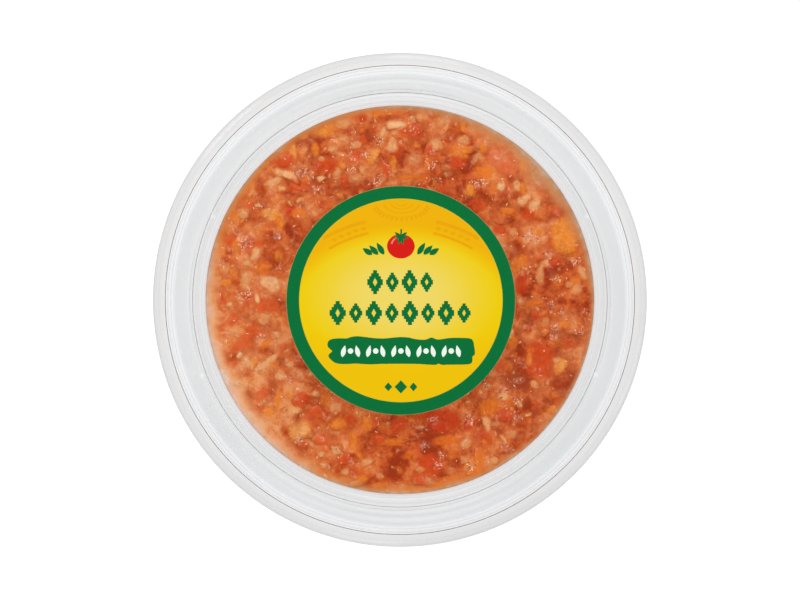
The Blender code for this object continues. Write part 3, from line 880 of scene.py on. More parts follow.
# Wide parts of the mash that are paler or darker than the rest: x, y, reach, change
REGIONS = [
    (-44, -16, 13, 0.08), (-36, 8, 16, 0.05), (33, 33, 13, 0.1), (-14, 32, 12, 0.04), (-33, -24, 9, 0.12),
    (-36.5, -21, 8, 0.2), (-42, 0, 8, 0.1), (15.5, 26.8, 6, -0.28), (-26.8, 15.5, 8, -0.12),
    (31, -18, 9, -0.14), (0, -36, 15, -0.17), (36, -22, 17, -0.06), (27, -8, 9, -0.04), (38, 0, 10, -0.1),
    (36, 0, 5, -0.08), (27, 14, 5, 0.12), (0, 36, 5, -0.1), (0, 43, 4, 0.1), (-21, 36.5, 5, 0.12),
    (-31, 18, 6, -0.08), (0, -36.5, 5, -0.12), (-16, -27, 5, 0.14), (-21, -37, 6, 0.2),
    (-32.5, 26.5, 5, 0.1), (44, 0, 5, -0.08), (-9.4, 35.2, 4, -0.1), (40.5, -9.5, 4, -0.12),
    (35.2, -9.4, 5, -0.15), (-15.5, 32.5, 5, -0.05), (31, 18, 4, 0.06), (35.2, 9.4, 5, -0.18),
    (21.7, 21.7, 4, 0.15), (8, 29.8, 5, -0.3), (-29.8, 8, 4, -0.08), (-29.7, -29.7, 5, 0.16),
    (9.4, -35.2, 5, -0.16), (-23.9, 25.1, 2.5, 0.2), (31.1, -4.8, 3, 0.14), (-30.6, 14.8, 2.5, -0.15),
    (41.9, -2.4, 2, -0.1), (26.5, 25, 4, 0.07), (8, -29.8, 5, -0.1),
]
# Wide parts where the mash is browner, or redder where the change is below 0
BROWNER = [
    (33, -19, 9, 0.14), (42, -14, 8, 0.16), (38, -28, 8, 0.12), (0, -31, 9, -0.12), (-15, -29, 6, -0.1),
    (26, -22, 7, 0.05), (40.5, -9.5, 4, 0.18), (35.2, -9.4, 5, 0.2), (31.1, -4.8, 3, 0.2),
    (-10.9, -39, 6, -0.1), (41.9, -2.4, 2.5, 0.1),
]
# Thin juice and painted light through the wall, every 20 degrees: its width in millimetres, and 0 olive, 0.5
# orange, 1 peach
JUICE = [
    (1.4, 0.1), (3.0, 0.05), (6.0, 0.0), (3.6, 0.15), (2.3, 0.1), (1.9, 0.45), (1.9, 0.4), (2.5, 0.45),
    (3.2, 0.5), (2.8, 1), (4.4, 1), (5.5, 1), (4.6, 0.7), (3.0, 0.15), (3.0, 0.45), (1.8, 0.25), (1.3, 0),
    (1.3, 0),
]
# Ruffled wet spots that glint: x, y, length and width
WET = [
    (-34, 22.7, 2.4, 2), (-37.1, 13.6, 4, 3), (-29.7, 15.1, 2.6, 2.2), (-37.1, 1, 3, 2),
    (-33, -8.9, 2.4, 2), (-26.6, -19.1, 2.4, 2), (-23.9, -33.7, 2.4, 2), (-15.6, -35.7, 2.4, 2),
    (6, -34.7, 2.4, 2), (9.1, -39.5, 2.4, 2), (19.1, 28, 3.6, 2.4), (31.4, 15.1, 4.4, 3),
    (35.7, 10.8, 2.4, 2.4), (29.9, 7.2, 3, 2.6), (37.6, 5.3, 2.4, 2), (41.9, 9.1, 2.4, 2),
    (-22.7, 30.4, 4.4, 3), (-20.1, 26.3, 2.4, 2), (-8.6, 34.7, 2.6, 2), (-5.3, 28.7, 2.6, 2),
    (-5, 38.1, 2.6, 2), (-11.5, 31.1, 2.4, 2), (8.9, 28.5, 2.4, 2), (3.1, 40.5, 2.4, 2),
    (7.7, 32.3, 2.4, 2), (36.4, -1.4, 2, 3), (39, -3.1, 1.8, 1.8), (37.3, -6.7, 2, 3), (36.9, -8.9, 1.8, 2),
    (43.1, -7.9, 2.4, 2), (28.5, -24.4, 2.4, 2), (24.4, -21.8, 2.4, 2), (28.2, -28, 2.4, 2),
    (20.8, -20.6, 2.4, 2), (28.5, -19.4, 2.4, 2), (7.9, -28.7, 2.4, 2), (9.6, -37.3, 2.4, 2),
    (17, -40, 2.4, 2), (16.8, -29.2, 3, 2.6), (25.9, -35.9, 2.6, 2.2),
]

# Flecks: the pale ones are painted glints and the dark ones painted shade
FLECKS_PER_MM2 = 1.6
LOOSE_FLECKS = 280
PAINTED_SHADE_FLECKS = 0.35            # share of the flecks on wet spots that are dark
FLECK_LENGTHS = (0.28, 0.75)
FLECK_WIDTHS = (0.17, 0.3)
FLECK_HEIGHT = 0.14


def wide_change(points, rows):
    """Sum of wide soft changes at each point."""
    total = np.zeros(len(points))
    for x, y, reach, change in rows:
        away = ((points[:, 0] - x) ** 2 + (points[:, 1] - y) ** 2) / reach ** 2
        total += change * np.exp(-away)
    return total


TINT_SPREAD = 1.12            # how much larger than its piece a tint is
TINT_EDGE = (0.6, 1.2)        # where a tint starts and ends to fade, from its middle to its outline at 1
# how strongly painted shade darkens the hollows between the pieces
HOLLOW_PAINTED_SHADE = 0.22
FRINGE_DEPTHS = (1.2, 0.6)    # how deep under the level the thin juice ends and where it is at its full


class TopMap:
    """A square grid of values over the salsa's top."""

    HALF = 48.0

    def __init__(self, cell):
        self.cell = cell
        self.side = int(2 * self.HALF / cell)
        self.axis = (np.arange(self.side) + 0.5) * cell - self.HALF
        grid_x, grid_y = np.meshgrid(self.axis, self.axis, indexing="ij")
        self.points = np.stack([grid_x.ravel(), grid_y.ravel(), np.zeros(grid_x.size)], axis=1)

    def grid(self, values):
        """Values at the grid's points, as a square."""
        return np.asarray(values).reshape(self.side, self.side)

    def around(self, x, y, reach):
        """The part of the grid within a reach of a place, and how far its cells lie from there."""
        i = slice(*np.searchsorted(self.axis, (x - reach, x + reach)))
        j = slice(*np.searchsorted(self.axis, (y - reach, y + reach)))
        return (i, j), self.axis[i][:, None] - x, self.axis[j][None, :] - y


class Sunken(TopMap):
    """Maps of what lies just under the juice: how strongly each kind shows through, and its tone."""

    def __init__(self):
        super().__init__(0.2)
        self.drift = self.drifting(51), self.drifting(53)
        kinds = ("red", "orange", "onion", "dark", "wet")
        self.maps = {kind: np.zeros((self.side, self.side)) for kind in kinds}
        self.maps["under_tone"] = np.full((self.side, self.side), 0.5)

    def drifting(self, seed):
        """Noise that moves outlines a little, so that they are ragged."""
        wide = value_noise(self.points, 1.6, seed) - 0.5
        small = value_noise(self.points, 0.7, seed + 1) - 0.5
        return self.grid(0.9 * wide + 0.5 * small)

    def add(self, kind, rows, strength=1.0):
        """Adds pieces given by x, y, length, width, direction and tone."""
        for x, y, length, width, degrees, tone in rows:
            window, gap_x, gap_y = self.around(x, y, 0.65 * max(length, width) + 0.8)
            gap_x = gap_x + self.drift[0][window]
            gap_y = gap_y + self.drift[1][window]
            along, across = along_and_across(gap_x, gap_y, degrees)
            along = np.abs(along) / (length * TINT_SPREAD / 2)
            across = np.abs(across) / (width * TINT_SPREAD / 2)
            away = (along ** 2.5 + across ** 2.5) ** 0.4
            cover = strength * (1 - step_up(away, *TINT_EDGE))
            shown = self.maps[kind][window]
            np.maximum(shown, cover, out=shown)
            if kind != "wet":
                tones_here = self.maps["under_tone"][window]
                tones_here += (tone - tones_here) * np.minimum(cover * 1.5, 1)

    def read(self, points):
        """Each map's values at points, smoothly."""
        place = (points[:, :2] + self.HALF) / self.cell - 0.5
        place = np.clip(place, 0, self.side - 1.001)
        i, j = place.astype(int).T
        u, v = (place - place.astype(int)).T
        values = {}
        for name, grid in self.maps.items():
            lower = grid[i, j] * (1 - u) + grid[i + 1, j] * u
            upper = grid[i, j + 1] * (1 - u) + grid[i + 1, j + 1] * u
            values[name] = lower * (1 - v) + upper * v
        return values


def edge_fringe(points):
    """0 inside the salsa's top, rising to 1 against the wall, where thin juice lies and light through the
    wall is painted pale.
    """
    x, y, z = points.T
    angle = np.arctan2(y, x)
    around = 40 * np.stack([np.cos(angle), np.sin(angle), np.zeros(len(angle))], axis=1)
    widths, hues = np.array(JUICE).T
    turn = np.degrees(angle) % 360
    steps = np.arange(len(JUICE)) * 360 / len(JUICE)
    width = np.interp(turn, steps, widths, period=360) * (0.6 + 0.8 * value_noise(around, 3.0, 31))
    near = np.clip((np.hypot(x, y) - SALSA_EDGE + width) / width, 0, 1)
    near *= step_up(z, *[SALSA_LEVEL - depth for depth in FRINGE_DEPTHS])
    return {"fringe": near, "fringe_tone": np.interp(turn, steps, hues, period=360)}


def juice_at(x, y):
    """How far the thin juice at the wall covers places on the salsa's top."""
    return edge_fringe(np.column_stack([x, y, np.full(len(x), SALSA_LEVEL)]))["fringe"]


def store_food(obj, points, sunken, tone, bare):
    """Stores what the food's material reads at each point."""
    values = sunken.read(points)
    # Painted shade: the food's tone is darkened where the hollows between the pieces lie
    region = wide_change(points, REGIONS) - HOLLOW_PAINTED_SHADE * values.pop("dark")
    brown = wide_change(points, BROWNER)
    store(obj, tone=tone, bare=bare, region=region, brown=brown, **edge_fringe(points), **values)


PULP_STEPS = 640
CALM_RADIUS = 24.0            # inside this radius the sticker hides the pulp, and its points are wide apart
CALM_STEP = 1.0
TOP_STEP = 0.3


def build_pulp(sunken):
    """The pulp and juice round the pieces: relief on top, pressed flat on the tub's wall and floor."""
    material = wet_food("pulp", TOMATO_TONES, 0.13)
    edge = float(wall_radius(SALSA_LEVEL - 0.4, INTO_WALL))
    rings = np.concatenate([
        np.arange(0.0, CALM_RADIUS, CALM_STEP),
        np.arange(CALM_RADIUS, edge - 0.2, TOP_STEP),
    ])
    top = np.stack([rings, np.full(len(rings), SALSA_LEVEL)], axis=1)
    rounding = SALSA_LEVEL - np.array([1.4, 1.0, 0.7, 0.4])
    lower = inner_line[inner_line[:, 1] < rounding[0] - 0.5]
    side = np.vstack([lower, np.stack([wall_radius(rounding, 0), rounding], axis=1)])
    side = offset(side, -INTO_WALL)[::-1]
    section = np.vstack([top, side[side[:, 0] >= FOOT_INNER - 1.5], side[side[:, 0] < FOOT_INNER - 1.5]])

    def relief(verts):
        upper = verts[:, 2] >= SALSA_LEVEL - 0.01
        verts[upper, 2] = pulp_relief(verts[upper, 0], verts[upper, 1])
        return verts

    pulp = turned("pulp", section, material, PULP_STEPS, relief)
    points = points_of(pulp)
    nothing = np.zeros(len(points))
    store_food(pulp, points, sunken, nothing, nothing)
    return keep(pulp, "salsa")


def ball(cuts):
    """A sphere made of a cube's faces, each cut into cuts x cuts: unit directions and faces."""
    index = {}
    verts = []
    faces = []

    def vertex(point):
        key = tuple(point)
        if key not in index:
            index[key] = len(verts)
            verts.append([math.tan(c / cuts * math.pi / 4) for c in point])
        return index[key]

    for axis in range(3):
        for side in (-1, 1):
            for i in range(cuts):
                for j in range(cuts):
                    corners = []
                    for di, dj in ((0, 0), (1, 0), (1, 1), (0, 1)):
                        point = [0, 0, 0]
                        point[axis] = side * cuts
                        point[(axis + 1) % 3] = 2 * (i + di) - cuts
                        point[(axis + 2) % 3] = 2 * (j + dj) - cuts
                        corners.append(vertex(point))
                    faces.append(corners if side > 0 else corners[::-1])
    directions = np.array(verts, float)
    directions /= np.linalg.norm(directions, axis=1)[:, None]
    return directions, np.array(faces)


def rotations(yaw, lean_x, lean_y):
    """Rotation matrices: a lean about X and Y, then a turn about Z."""
    turns = []
    for axis, angle in ((2, yaw), (0, lean_x), (1, lean_y)):
        first, second = (axis + 1) % 3, (axis + 2) % 3
        turn = np.tile(np.eye(3), (len(angle), 1, 1))
        turn[:, first, first] = np.cos(angle)
        turn[:, second, second] = np.cos(angle)
        turn[:, second, first] = np.sin(angle)
        turn[:, first, second] = -np.sin(angle)
        turns.append(turn)
    return turns[0] @ turns[1] @ turns[2]


FACE_TILT = 0.22              # how far the faces of a rough die are turned off square
FACE_REACH = (0.8, 1.1)       # how far its faces lie from its middle
SLICE_REACH = (0.75, 1.25)    # and the slices cut off it
SWELL_WAVES = 2.2


def chopped_shapes(rng, count, cuts, cut_planes, sharpness, bend=0.0, wobble=0.07):
    """Unit-sized chopped pieces: rough dice with slices cut off, softened edges and a slight bend."""
    directions, faces = ball(cuts)
    axes = np.vstack([np.eye(3), -np.eye(3)])
    normals = axes[None] + rng.normal(0, FACE_TILT, (count, 6, 3))
    extra = rng.normal(0, 1, (count, cut_planes, 3))
    normals = np.concatenate([normals, extra], axis=1)
    normals /= np.linalg.norm(normals, axis=2)[:, :, None]
    reach = np.concatenate([
        rng.uniform(*FACE_REACH, (count, 6)),
        rng.uniform(*SLICE_REACH, (count, cut_planes)),
    ], axis=1)
    facing = np.maximum(np.einsum("vk,cnk->cvn", directions, normals), 0) / reach[:, None, :]
    radius = (facing ** sharpness).sum(axis=2) ** (-1 / sharpness)
    points = directions[None] * radius[:, :, None]
    wave = rng.normal(0, 1, (count, 3, 3)) * SWELL_WAVES
    phase = rng.uniform(0, math.tau, (count, 1, 3))
    swell = np.sin(np.einsum("cvk,ckn->cvn", points, wave) + phase).sum(axis=2)
    points = points * (1 + wobble * swell[:, :, None])
    if bend:
        amount = rng.uniform(-bend, bend, count)[:, None]
        points[:, :, 1] += amount * points[:, :, 0] ** 2
    return points, faces


def merge_shapes(points, faces):
    """One vertex and face list from many copies of a shape."""
    count, each = points.shape[:2]
    shifts = (np.arange(count) * each)[:, None, None]
    return points.reshape(-1, 3), (faces[None] + shifts).reshape(-1, faces.shape[1]).tolist()


def press_inside(points):
    """Presses points that would leave the tub flat against its wall and floor."""
    radius = np.hypot(points[..., 0], points[..., 1])
    limit = wall_radius(points[..., 2], PIECE_INTO_WALL)
    scale = np.minimum(1, limit / np.maximum(radius, 1e-6))
    points[..., 0] *= scale
    points[..., 1] *= scale
    floor = floor_height(np.minimum(radius, limit)) - PIECE_INTO_WALL
    points[..., 2] = np.maximum(points[..., 2], floor)
    return points


class Heap(TopMap):
    """The salsa's top while it is being laid: a map of heights that each piece rests on."""

    def __init__(self):
        super().__init__(0.4)
        self.map = self.grid(pulp_relief(*self.points[:, :2].T))

    def lay(self, x, y, size, rise):
        """Lays a piece so that its top stands a rise over what is under it, and gives its middle's height."""
        reach = 0.5 * math.sqrt(size[0] * size[1])
        place, gap_x, gap_y = self.around(x, y, reach)
        window = self.map[place]
        away = (gap_x ** 2 + gap_y ** 2) / reach ** 2
        under = away < 1
        top = SALSA_LEVEL
        if under.any():
            top = min(window[under].mean() + rise, SALSA_LEVEL - PULP_DROP + HEAP_MOST)
            crown = top - (1 - np.sqrt(np.maximum(1 - away, 0))) * size[2] * 0.4
            window[under] = np.maximum(window[under], crown[under])
        return top - size[2] / 2


def spread(rng, count, radius):
    """Places spread evenly at random over a disc, in a random order."""
    index = rng.permutation(count)
    far = radius * np.sqrt((index + 0.5) / count)
    angle = index * math.pi * (3 - math.sqrt(5))
    jitter = radius / math.sqrt(count) * 0.9
    x = far * np.cos(angle) + rng.uniform(-jitter, jitter, count)
    y = far * np.sin(angle) + rng.uniform(-jitter, jitter, count)
    return x, y


def strewn(rng, count, lengths, widths, pales):
    """Rows of pieces strewn at random, as in the lists above."""
    length = lengths[0] + (lengths[1] - lengths[0]) * rng.beta(1.2, 2.2, count)
    width = length * rng.uniform(*widths, count)
    x, y = spread(rng, count, SALSA_EDGE - 0.7)
    return np.stack([x, y, length, width, rng.uniform(0, 180, count), rng.uniform(*pales, count)], axis=1)


def clear_of(rows, listed):
    """The rows whose middle lies neither on a listed piece nor in the thin juice at the wall."""
    free = juice_at(rows[:, 0], rows[:, 1]) < 0.4
    for x, y, length, width, degrees, _ in listed:
        along, across = along_and_across(rows[:, 0] - x, rows[:, 1] - y, degrees)
        free &= np.hypot(along / (length + 0.5), across / (width + 0.5)) > 0.5
    return rows[free]


def lay_on_top(heap, rng, rows, heights, rises, lean):
    """Sizes, places and turns of pieces laid on the salsa's top, the largest first."""
    x, y, length, width, degrees, _ = np.asarray(rows, float).T
    count = len(x)
    sizes = np.stack([length, width, width * rng.uniform(*heights, count)], axis=1)
    rise = rng.uniform(*rises, count) - JUICE_SINKS * juice_at(x, y)
    middle = np.empty(count)
    for i in np.argsort(-length):
        middle[i] = heap.lay(x[i], y[i], sizes[i], rise[i])
    turn = rotations(np.radians(degrees), rng.uniform(-lean, lean, count), rng.uniform(-lean, lean, count))
    return sizes, np.stack([x, y, middle], axis=1), turn


GOLDEN_TURN = 0.618034        # share of a turn from each piece to the next, which spreads them evenly
WALL_PIECE_LEAST = 1.0        # the lowest that the middle of a piece at the wall lies


def lay_on_wall(rng, count, lengths, widths, heights):
    """Sizes, places and turns of pieces that show through the tub's wall."""
    length = rng.uniform(*lengths, count)
    sizes = np.stack([
        length * rng.uniform(*heights, count),
        length,
        length * rng.uniform(*widths, count),
    ], axis=1)
    z = WALL_PIECE_LEAST + (SALSA_LEVEL - 1.6 - 0.55 * length) * rng.random(count)
    angle = math.tau * (np.arange(count) * GOLDEN_TURN % 1.0)
    radius = wall_radius(z, 0) - sizes[:, 0] * rng.uniform(0.1, 0.35, count)
    places = np.stack([radius * np.cos(angle), radius * np.sin(angle), z], axis=1)
    turn = rotations(angle, rng.uniform(-math.pi, math.pi, count), np.zeros(count))
    return sizes, places, turn


def lay_on_floor(rng, count, lengths, widths, heights):
    """Sizes, places and turns of pieces that show through the tub's base."""
    length = rng.uniform(*lengths, count)
    sizes = np.stack([
        length,
        length * rng.uniform(*widths, count),
        length * rng.uniform(*heights, count),
    ], axis=1)
    x, y = spread(rng, count, FOOT_OUTER)
    z = floor_height(np.hypot(x, y)) + sizes[:, 2] * 0.2
    turn = rotations(rng.uniform(0, math.tau, count), np.zeros(count), np.zeros(count))
    return sizes, np.stack([x, y, z], axis=1), turn


def chopped_kind(name, rng, sunken, laid, material, top_tones, shape, soft):
    """One kind of piece as one mesh. soft: the shares of a piece's width where it starts and ends to fade."""
    sizes, places, turn = [np.concatenate(parts) for parts in zip(*laid)]
    count = len(sizes)
    tone = np.concatenate([top_tones, rng.uniform(0.1, 0.8, count - len(top_tones))])
    unit, faces = chopped_shapes(rng, count, **shape)
    points = unit * sizes[:, None, :] / 2
    points = np.einsum("cij,cvj->cvi", turn, points) + places[:, None, :]
    points = press_inside(points)
    on_wall = np.hypot(places[:, 0], places[:, 1]) > wall_radius(places[:, 2], 0) - WALL_DEPTH
    on_wall &= places[:, 2] < SALSA_LEVEL - TOP_DEPTH
    seen_along = np.where(on_wall[:, None], unit[..., 2], unit[..., 0])
    bare = 1 - step_up(np.hypot(seen_along, unit[..., 1]), *soft)
    verts, quads = merge_shapes(points, faces)
    clearance = verts[:, 2] - pulp_relief(verts[:, 0], verts[:, 1])
    laid_low = verts[:, 2] < SALSA_LEVEL - TOP_DEPTH
    bare = bare.ravel() * np.where(laid_low, 1.0, step_up(clearance, COVERED, BARE))
    obj = make_object(name, verts, quads, material)
    store_food(obj, verts, sunken, np.repeat(tone, points.shape[1]), bare)
    return keep(obj, "salsa")


def fleck_rows(rng):
    """Where tiny shreds may lie: x, y, direction in degrees, and whether it is a dark one, which paints
    shade.
    """
    rows = []
    for x, y, length, width in WET:
        degrees = rng.uniform(0, 180)
        for _ in range(round(FLECKS_PER_MM2 * length * width)):
            place = rng.normal((x, y), (0.33 * length, 0.33 * width))
            rows.append((*place, rng.normal(degrees, 35), rng.random() < PAINTED_SHADE_FLECKS))
    for x, y in zip(*spread(rng, LOOSE_FLECKS, SALSA_EDGE - 1.2)):
        rows.append((x, y, rng.uniform(0, 180), False))
    return rows


def on_surface(rows, laid):
    """Those of the rows that lie on a level part of the laid food, with their place and normal there."""
    trees = []
    for obj in laid:
        polygons = [tuple(p.vertices) for p in obj.data.polygons]
        trees.append(BVHTree.FromPolygons([tuple(v) for v in points_of(obj)], polygons))
    kept = []
    for x, y, degrees, dark in rows:
        hits = [tree.ray_cast(Vector((x, y, SALSA_LEVEL + 5)), Vector((0, 0, -1))) for tree in trees]
        hits = [hit[:2] for hit in hits if hit[0] is not None]
        if hits and math.hypot(x, y) > LABEL_RADIUS - 1:
            place, normal = max(hits, key=lambda hit: hit[0].z)
            if normal.z > 0.5:
                kept.append((place, normal, degrees, dark))
    return kept


def build_flecks(rng, laid):
    """Tiny shreds on the wet spots and strewn elsewhere: pale ones are painted glints and dark ones painted
    shade.
    """
    kept = on_surface(fleck_rows(rng), laid)
    count = len(kept)
    length = rng.uniform(*FLECK_LENGTHS, count)
    width = rng.uniform(*FLECK_WIDTHS, count)
    sizes = np.stack([length, width, np.full(count, FLECK_HEIGHT)], axis=1)
    unit, faces = chopped_shapes(rng, count, cuts=2, cut_planes=1, sharpness=3.0, bend=0.5)
    points = unit * sizes[:, None, :] / 2
    for i, (place, normal, degrees, _) in enumerate(kept):
        along = Vector((*heading(degrees), 0))
        along = (along - normal * along.dot(normal)).normalized()
        turn = np.array([along, normal.cross(along), normal])
        points[i] = points[i] @ turn + np.array(place + normal * 0.03)
    verts, quads = merge_shapes(points, faces)
    flecks = make_object("painted_glint_and_shade_flecks", verts, quads, fleck_material("painted_glint_and_shade_flecks"))
    # Dark flecks get painted shade tones, the others painted glint tones
    dark = np.array([row[3] for row in kept])
    tone = np.where(dark, rng.uniform(0, 0.3, count), rng.uniform(0.45, 1, count))
    store(flecks, tone=np.repeat(tone, points.shape[1]))
    keep(flecks, "salsa")


# What is strewn round the listed pieces: how many, lengths, widths as shares of the length, and tones
STREWN_TOMATO = (110, (1.8, 5.5), (0.5, 0.95), (0.1, 0.8))
STREWN_ORANGE = (130, (1.0, 3.6), (0.5, 0.95), (0.0, 0.7))
STREWN_ONION = (170, (0.8, 2.4), (0.4, 0.9), (0.0, 0.6))
STREWN_BITS = (760, (0.6, 2.0), (0.45, 1.0), (0.2, 0.95))
# Pieces at the tub's wall and floor: lengths, and widths and heights as shares of the length
COARSE = ((3.0, 6.5), (0.5, 0.95), (0.3, 0.5))
MEDIUM = ((2.2, 5.0), (0.5, 0.95), (0.3, 0.5))
FINE = ((1.8, 4.2), (0.45, 0.8), (0.3, 0.5))
CRUMBS = ((1.0, 2.6), (0.5, 1.0), (0.4, 0.7))
# Shapes of the large, the small and the tiniest pieces
LARGE = {"cuts": 5, "cut_planes": 3, "sharpness": 3.8, "wobble": 0.12}
SMALL = {"cuts": 4, "cut_planes": 2, "sharpness": 3.0, "bend": 0.2, "wobble": 0.09}
TINY = {**SMALL, "cuts": 3}


def build_salsa():
    """The pulp and the chopped vegetables, the largest kinds first."""
    rng = np.random.default_rng(42)
    listed = [*ONION, *ORANGE, *TOMATO]
    tomato_rows = np.vstack([TOMATO, clear_of(strewn(rng, *STREWN_TOMATO), listed)])
    orange_rows = np.vstack([ORANGE, clear_of(strewn(rng, *STREWN_ORANGE), listed)])
    onion_rows = np.vstack([ONION, clear_of(strewn(rng, *STREWN_ONION), listed)])
    bit_rows = clear_of(strewn(rng, *STREWN_BITS), listed)
    sunken = Sunken()
    # painted shade in the hollows between the pieces
    sunken.add("dark", [(*row, 0.0, 0.2) for row in PAINTED_SHADE_HOLLOWS])
    sunken.add("wet", [(*row, 0.0, 0.0) for row in WET])
    for kind, rows, own, strengths in (
        ("red", tomato_rows, len(TOMATO), (0.95, 0.5)),
        ("orange", orange_rows, len(ORANGE), (0.9, 0.5)),
        ("onion", onion_rows, len(ONION), (0.9, 0.45)),
    ):
        sunken.add(kind, rows[:own], strengths[0])
        sunken.add(kind, rows[own:], strengths[1])
    pulp = build_pulp(sunken)

    heap = Heap()
    tomato = wet_food("tomato", TOMATO_TONES, 0.1)
    orange = wet_food("orange_pepper", ORANGE_TONES, 0.08)
    onion = wet_food("onion", ONION_TONES, 0.07, 0.2)
    tomatoes = chopped_kind("tomato_pieces", rng, sunken, [
        lay_on_top(heap, rng, tomato_rows, (0.35, 0.5), (0.0, 0.16), 0.06),
        lay_on_wall(rng, 230, *COARSE),
        lay_on_floor(rng, 150, *COARSE),
    ], tomato, tomato_rows[:, 5], LARGE, (0.5, 1.1))
    oranges = chopped_kind("orange_pieces", rng, sunken, [
        lay_on_top(heap, rng, orange_rows, (0.4, 0.6), (0.02, 0.18), 0.08),
        lay_on_wall(rng, 160, *MEDIUM),
        lay_on_floor(rng, 120, *MEDIUM),
    ], orange, orange_rows[:, 5], LARGE, (0.35, 1.05))
    onions = chopped_kind("onion_pieces", rng, sunken, [
        lay_on_top(heap, rng, onion_rows, (0.5, 0.8), (0.08, 0.26), 0.1),
        lay_on_wall(rng, 120, *FINE),
        lay_on_floor(rng, 90, *FINE),
    ], onion, onion_rows[:, 5], SMALL, (0.55, 1.15))
    bits = chopped_kind("tomato_bits", rng, sunken, [
        lay_on_top(heap, rng, bit_rows, (0.5, 0.8), (0.02, 0.12), 0.2),
        lay_on_wall(rng, 420, *CRUMBS),
    ], tomato, bit_rows[:, 5], TINY, (0.4, 1.0))
    build_flecks(rng, [pulp, tomatoes, oranges, onions, bits])


# The sticker, in its own millimetres from its centre

LABEL_STEPS = 192
LAYER = 0.01                  # thickness of a print layer
LAYER_GAP = 0.002
PAPER_LOW = PANEL_Z + LID_WALL / 2 + 0.015
PAPER_HIGH = PAPER_LOW + 0.12
RING_LOW = PAPER_HIGH + LAYER_GAP
RING_HIGH = RING_LOW + LAYER
FIELD_RADIUS = LABEL_RADIUS * 0.889
FIELD_LOW = RING_LOW - 0.001
FIELD_HIGH = RING_HIGH + 0.004
PRINT_LOWS = [FIELD_HIGH + LAYER_GAP + k * (LAYER + LAYER_GAP) for k in range(3)]
FIRST, SECOND, THIRD = ((low, low + LAYER) for low in PRINT_LOWS)


def on_label(verts):
    """Moves points from round the axis to the sticker's centre."""
    verts[:, :2] += LABEL_CENTRE
    return verts


def keep_print(obj):
    """Registers a print layer, which replaces no solid of its own."""
    keep(obj, "label", replaces=False)


def prisms(name, outlines, level, material):
    """Flat closed shapes on a level of the print."""
    verts = []
    faces = []
    for outline in outlines:
        x, y = np.asarray(outline, float).T
        if np.sum(x * np.roll(y, -1) - np.roll(x, -1) * y) < 0:
            x, y = x[::-1], y[::-1]
        count = len(x)
        start = len(verts)
        for z in level:
            verts.extend(np.column_stack([x, y, np.full(count, z)]))
        faces.append(list(range(start + count - 1, start - 1, -1)))
        faces.append(list(range(start + count, start + 2 * count)))
        for i in range(count):
            j = (i + 1) % count
            faces.append([start + i, start + j, start + count + j, start + count + i])
    keep_print(make_object(name, on_label(np.array(verts)), faces, material, smooth=False))


def ring_mesh(name, inner, outer, level, material, bevel=0.0):
    """A flat ring on a level of the print, with its top edge drawn in outside by a bevel."""
    low, high = level
    section = np.array([(outer - bevel, high), (outer, low), (inner, low), (inner, high)])
    verts = on_label(turned_points(section, LABEL_STEPS))
    faces = faces_between(len(section), LABEL_STEPS, closed=True)
    keep_print(make_object(name, verts, faces, material, smooth=False))


def label_disc(name, section, material):
    """A disc of the sticker, turned from its section (r, z)."""
    return turned(name, np.array(section), material, LABEL_STEPS, on_label, smooth=False)


def on_arc(cx, cy, radius, degrees, squash=1.0):
    """X and Y on an arc, at one direction or several."""
    a = np.radians(degrees)
    return cx + radius * np.cos(a), cy + radius * squash * np.sin(a)


def circle(cx, cy, radius, steps=40, squash=1.0):
    """Outline of a disc."""
    degrees = np.linspace(0, 360, steps, endpoint=False)
    return np.stack(on_arc(cx, cy, radius, degrees, squash), axis=1)


def diamond(cx, cy, width, height):
    """Outline of a diamond."""
    return [(cx - width / 2, cy), (cx, cy - height / 2), (cx + width / 2, cy), (cx, cy + height / 2)]


def leaf(cx, cy, length, width, degrees, steps=12):
    """Outline of a pointed leaf from its stem end."""
    t = np.linspace(0, 1, steps)
    half = width / 2 * np.sin(math.pi * t ** 0.8)
    along = np.concatenate([t * length, t[-2:0:-1] * length])
    across = np.concatenate([half, -half[-2:0:-1]])
    c, s = heading(degrees)
    return np.stack([cx + along * c - across * s, cy + along * s + across * c], axis=1)


def arc_band(cx, cy, inner, outer, start, end, steps=24, squash=1.0):
    """Outline of an arc-shaped band, angles in degrees."""
    degrees = np.linspace(start, end, steps)
    out = np.stack(on_arc(cx, cy, outer, degrees, squash), axis=1)
    back = np.stack(on_arc(cx, cy, inner, degrees[::-1], squash), axis=1)
    return np.vstack([out, back])


def softened(outline):
    """An outline with its corners cut to smooth curves."""
    outline = np.asarray(outline, float)
    for _ in range(2):
        after = np.roll(outline, -1, axis=0)
        cut = np.stack([0.75 * outline + 0.25 * after, 0.25 * outline + 0.75 * after], axis=1)
        outline = cut.reshape(-1, 2)
    return outline


def stepped_motif(cx, cy, width, height, scale):
    """A stepped diamond, as in woven bands."""
    levels = 4
    corner = []
    for k in range(levels):
        half = width / 2 * (k + 1) / levels
        corner.append((half, height / 2 * (1 - k / levels)))
        corner.append((half, height / 2 * (1 - (k + 1) / levels)))
    right = corner + [(x, -y) for x, y in corner[-2::-1]]
    left = [(-x, -y) for x, y in corner] + [(-x, y) for x, y in corner[-2::-1]]
    return [(cx + x * scale, cy + y * scale) for x, y in right + left]


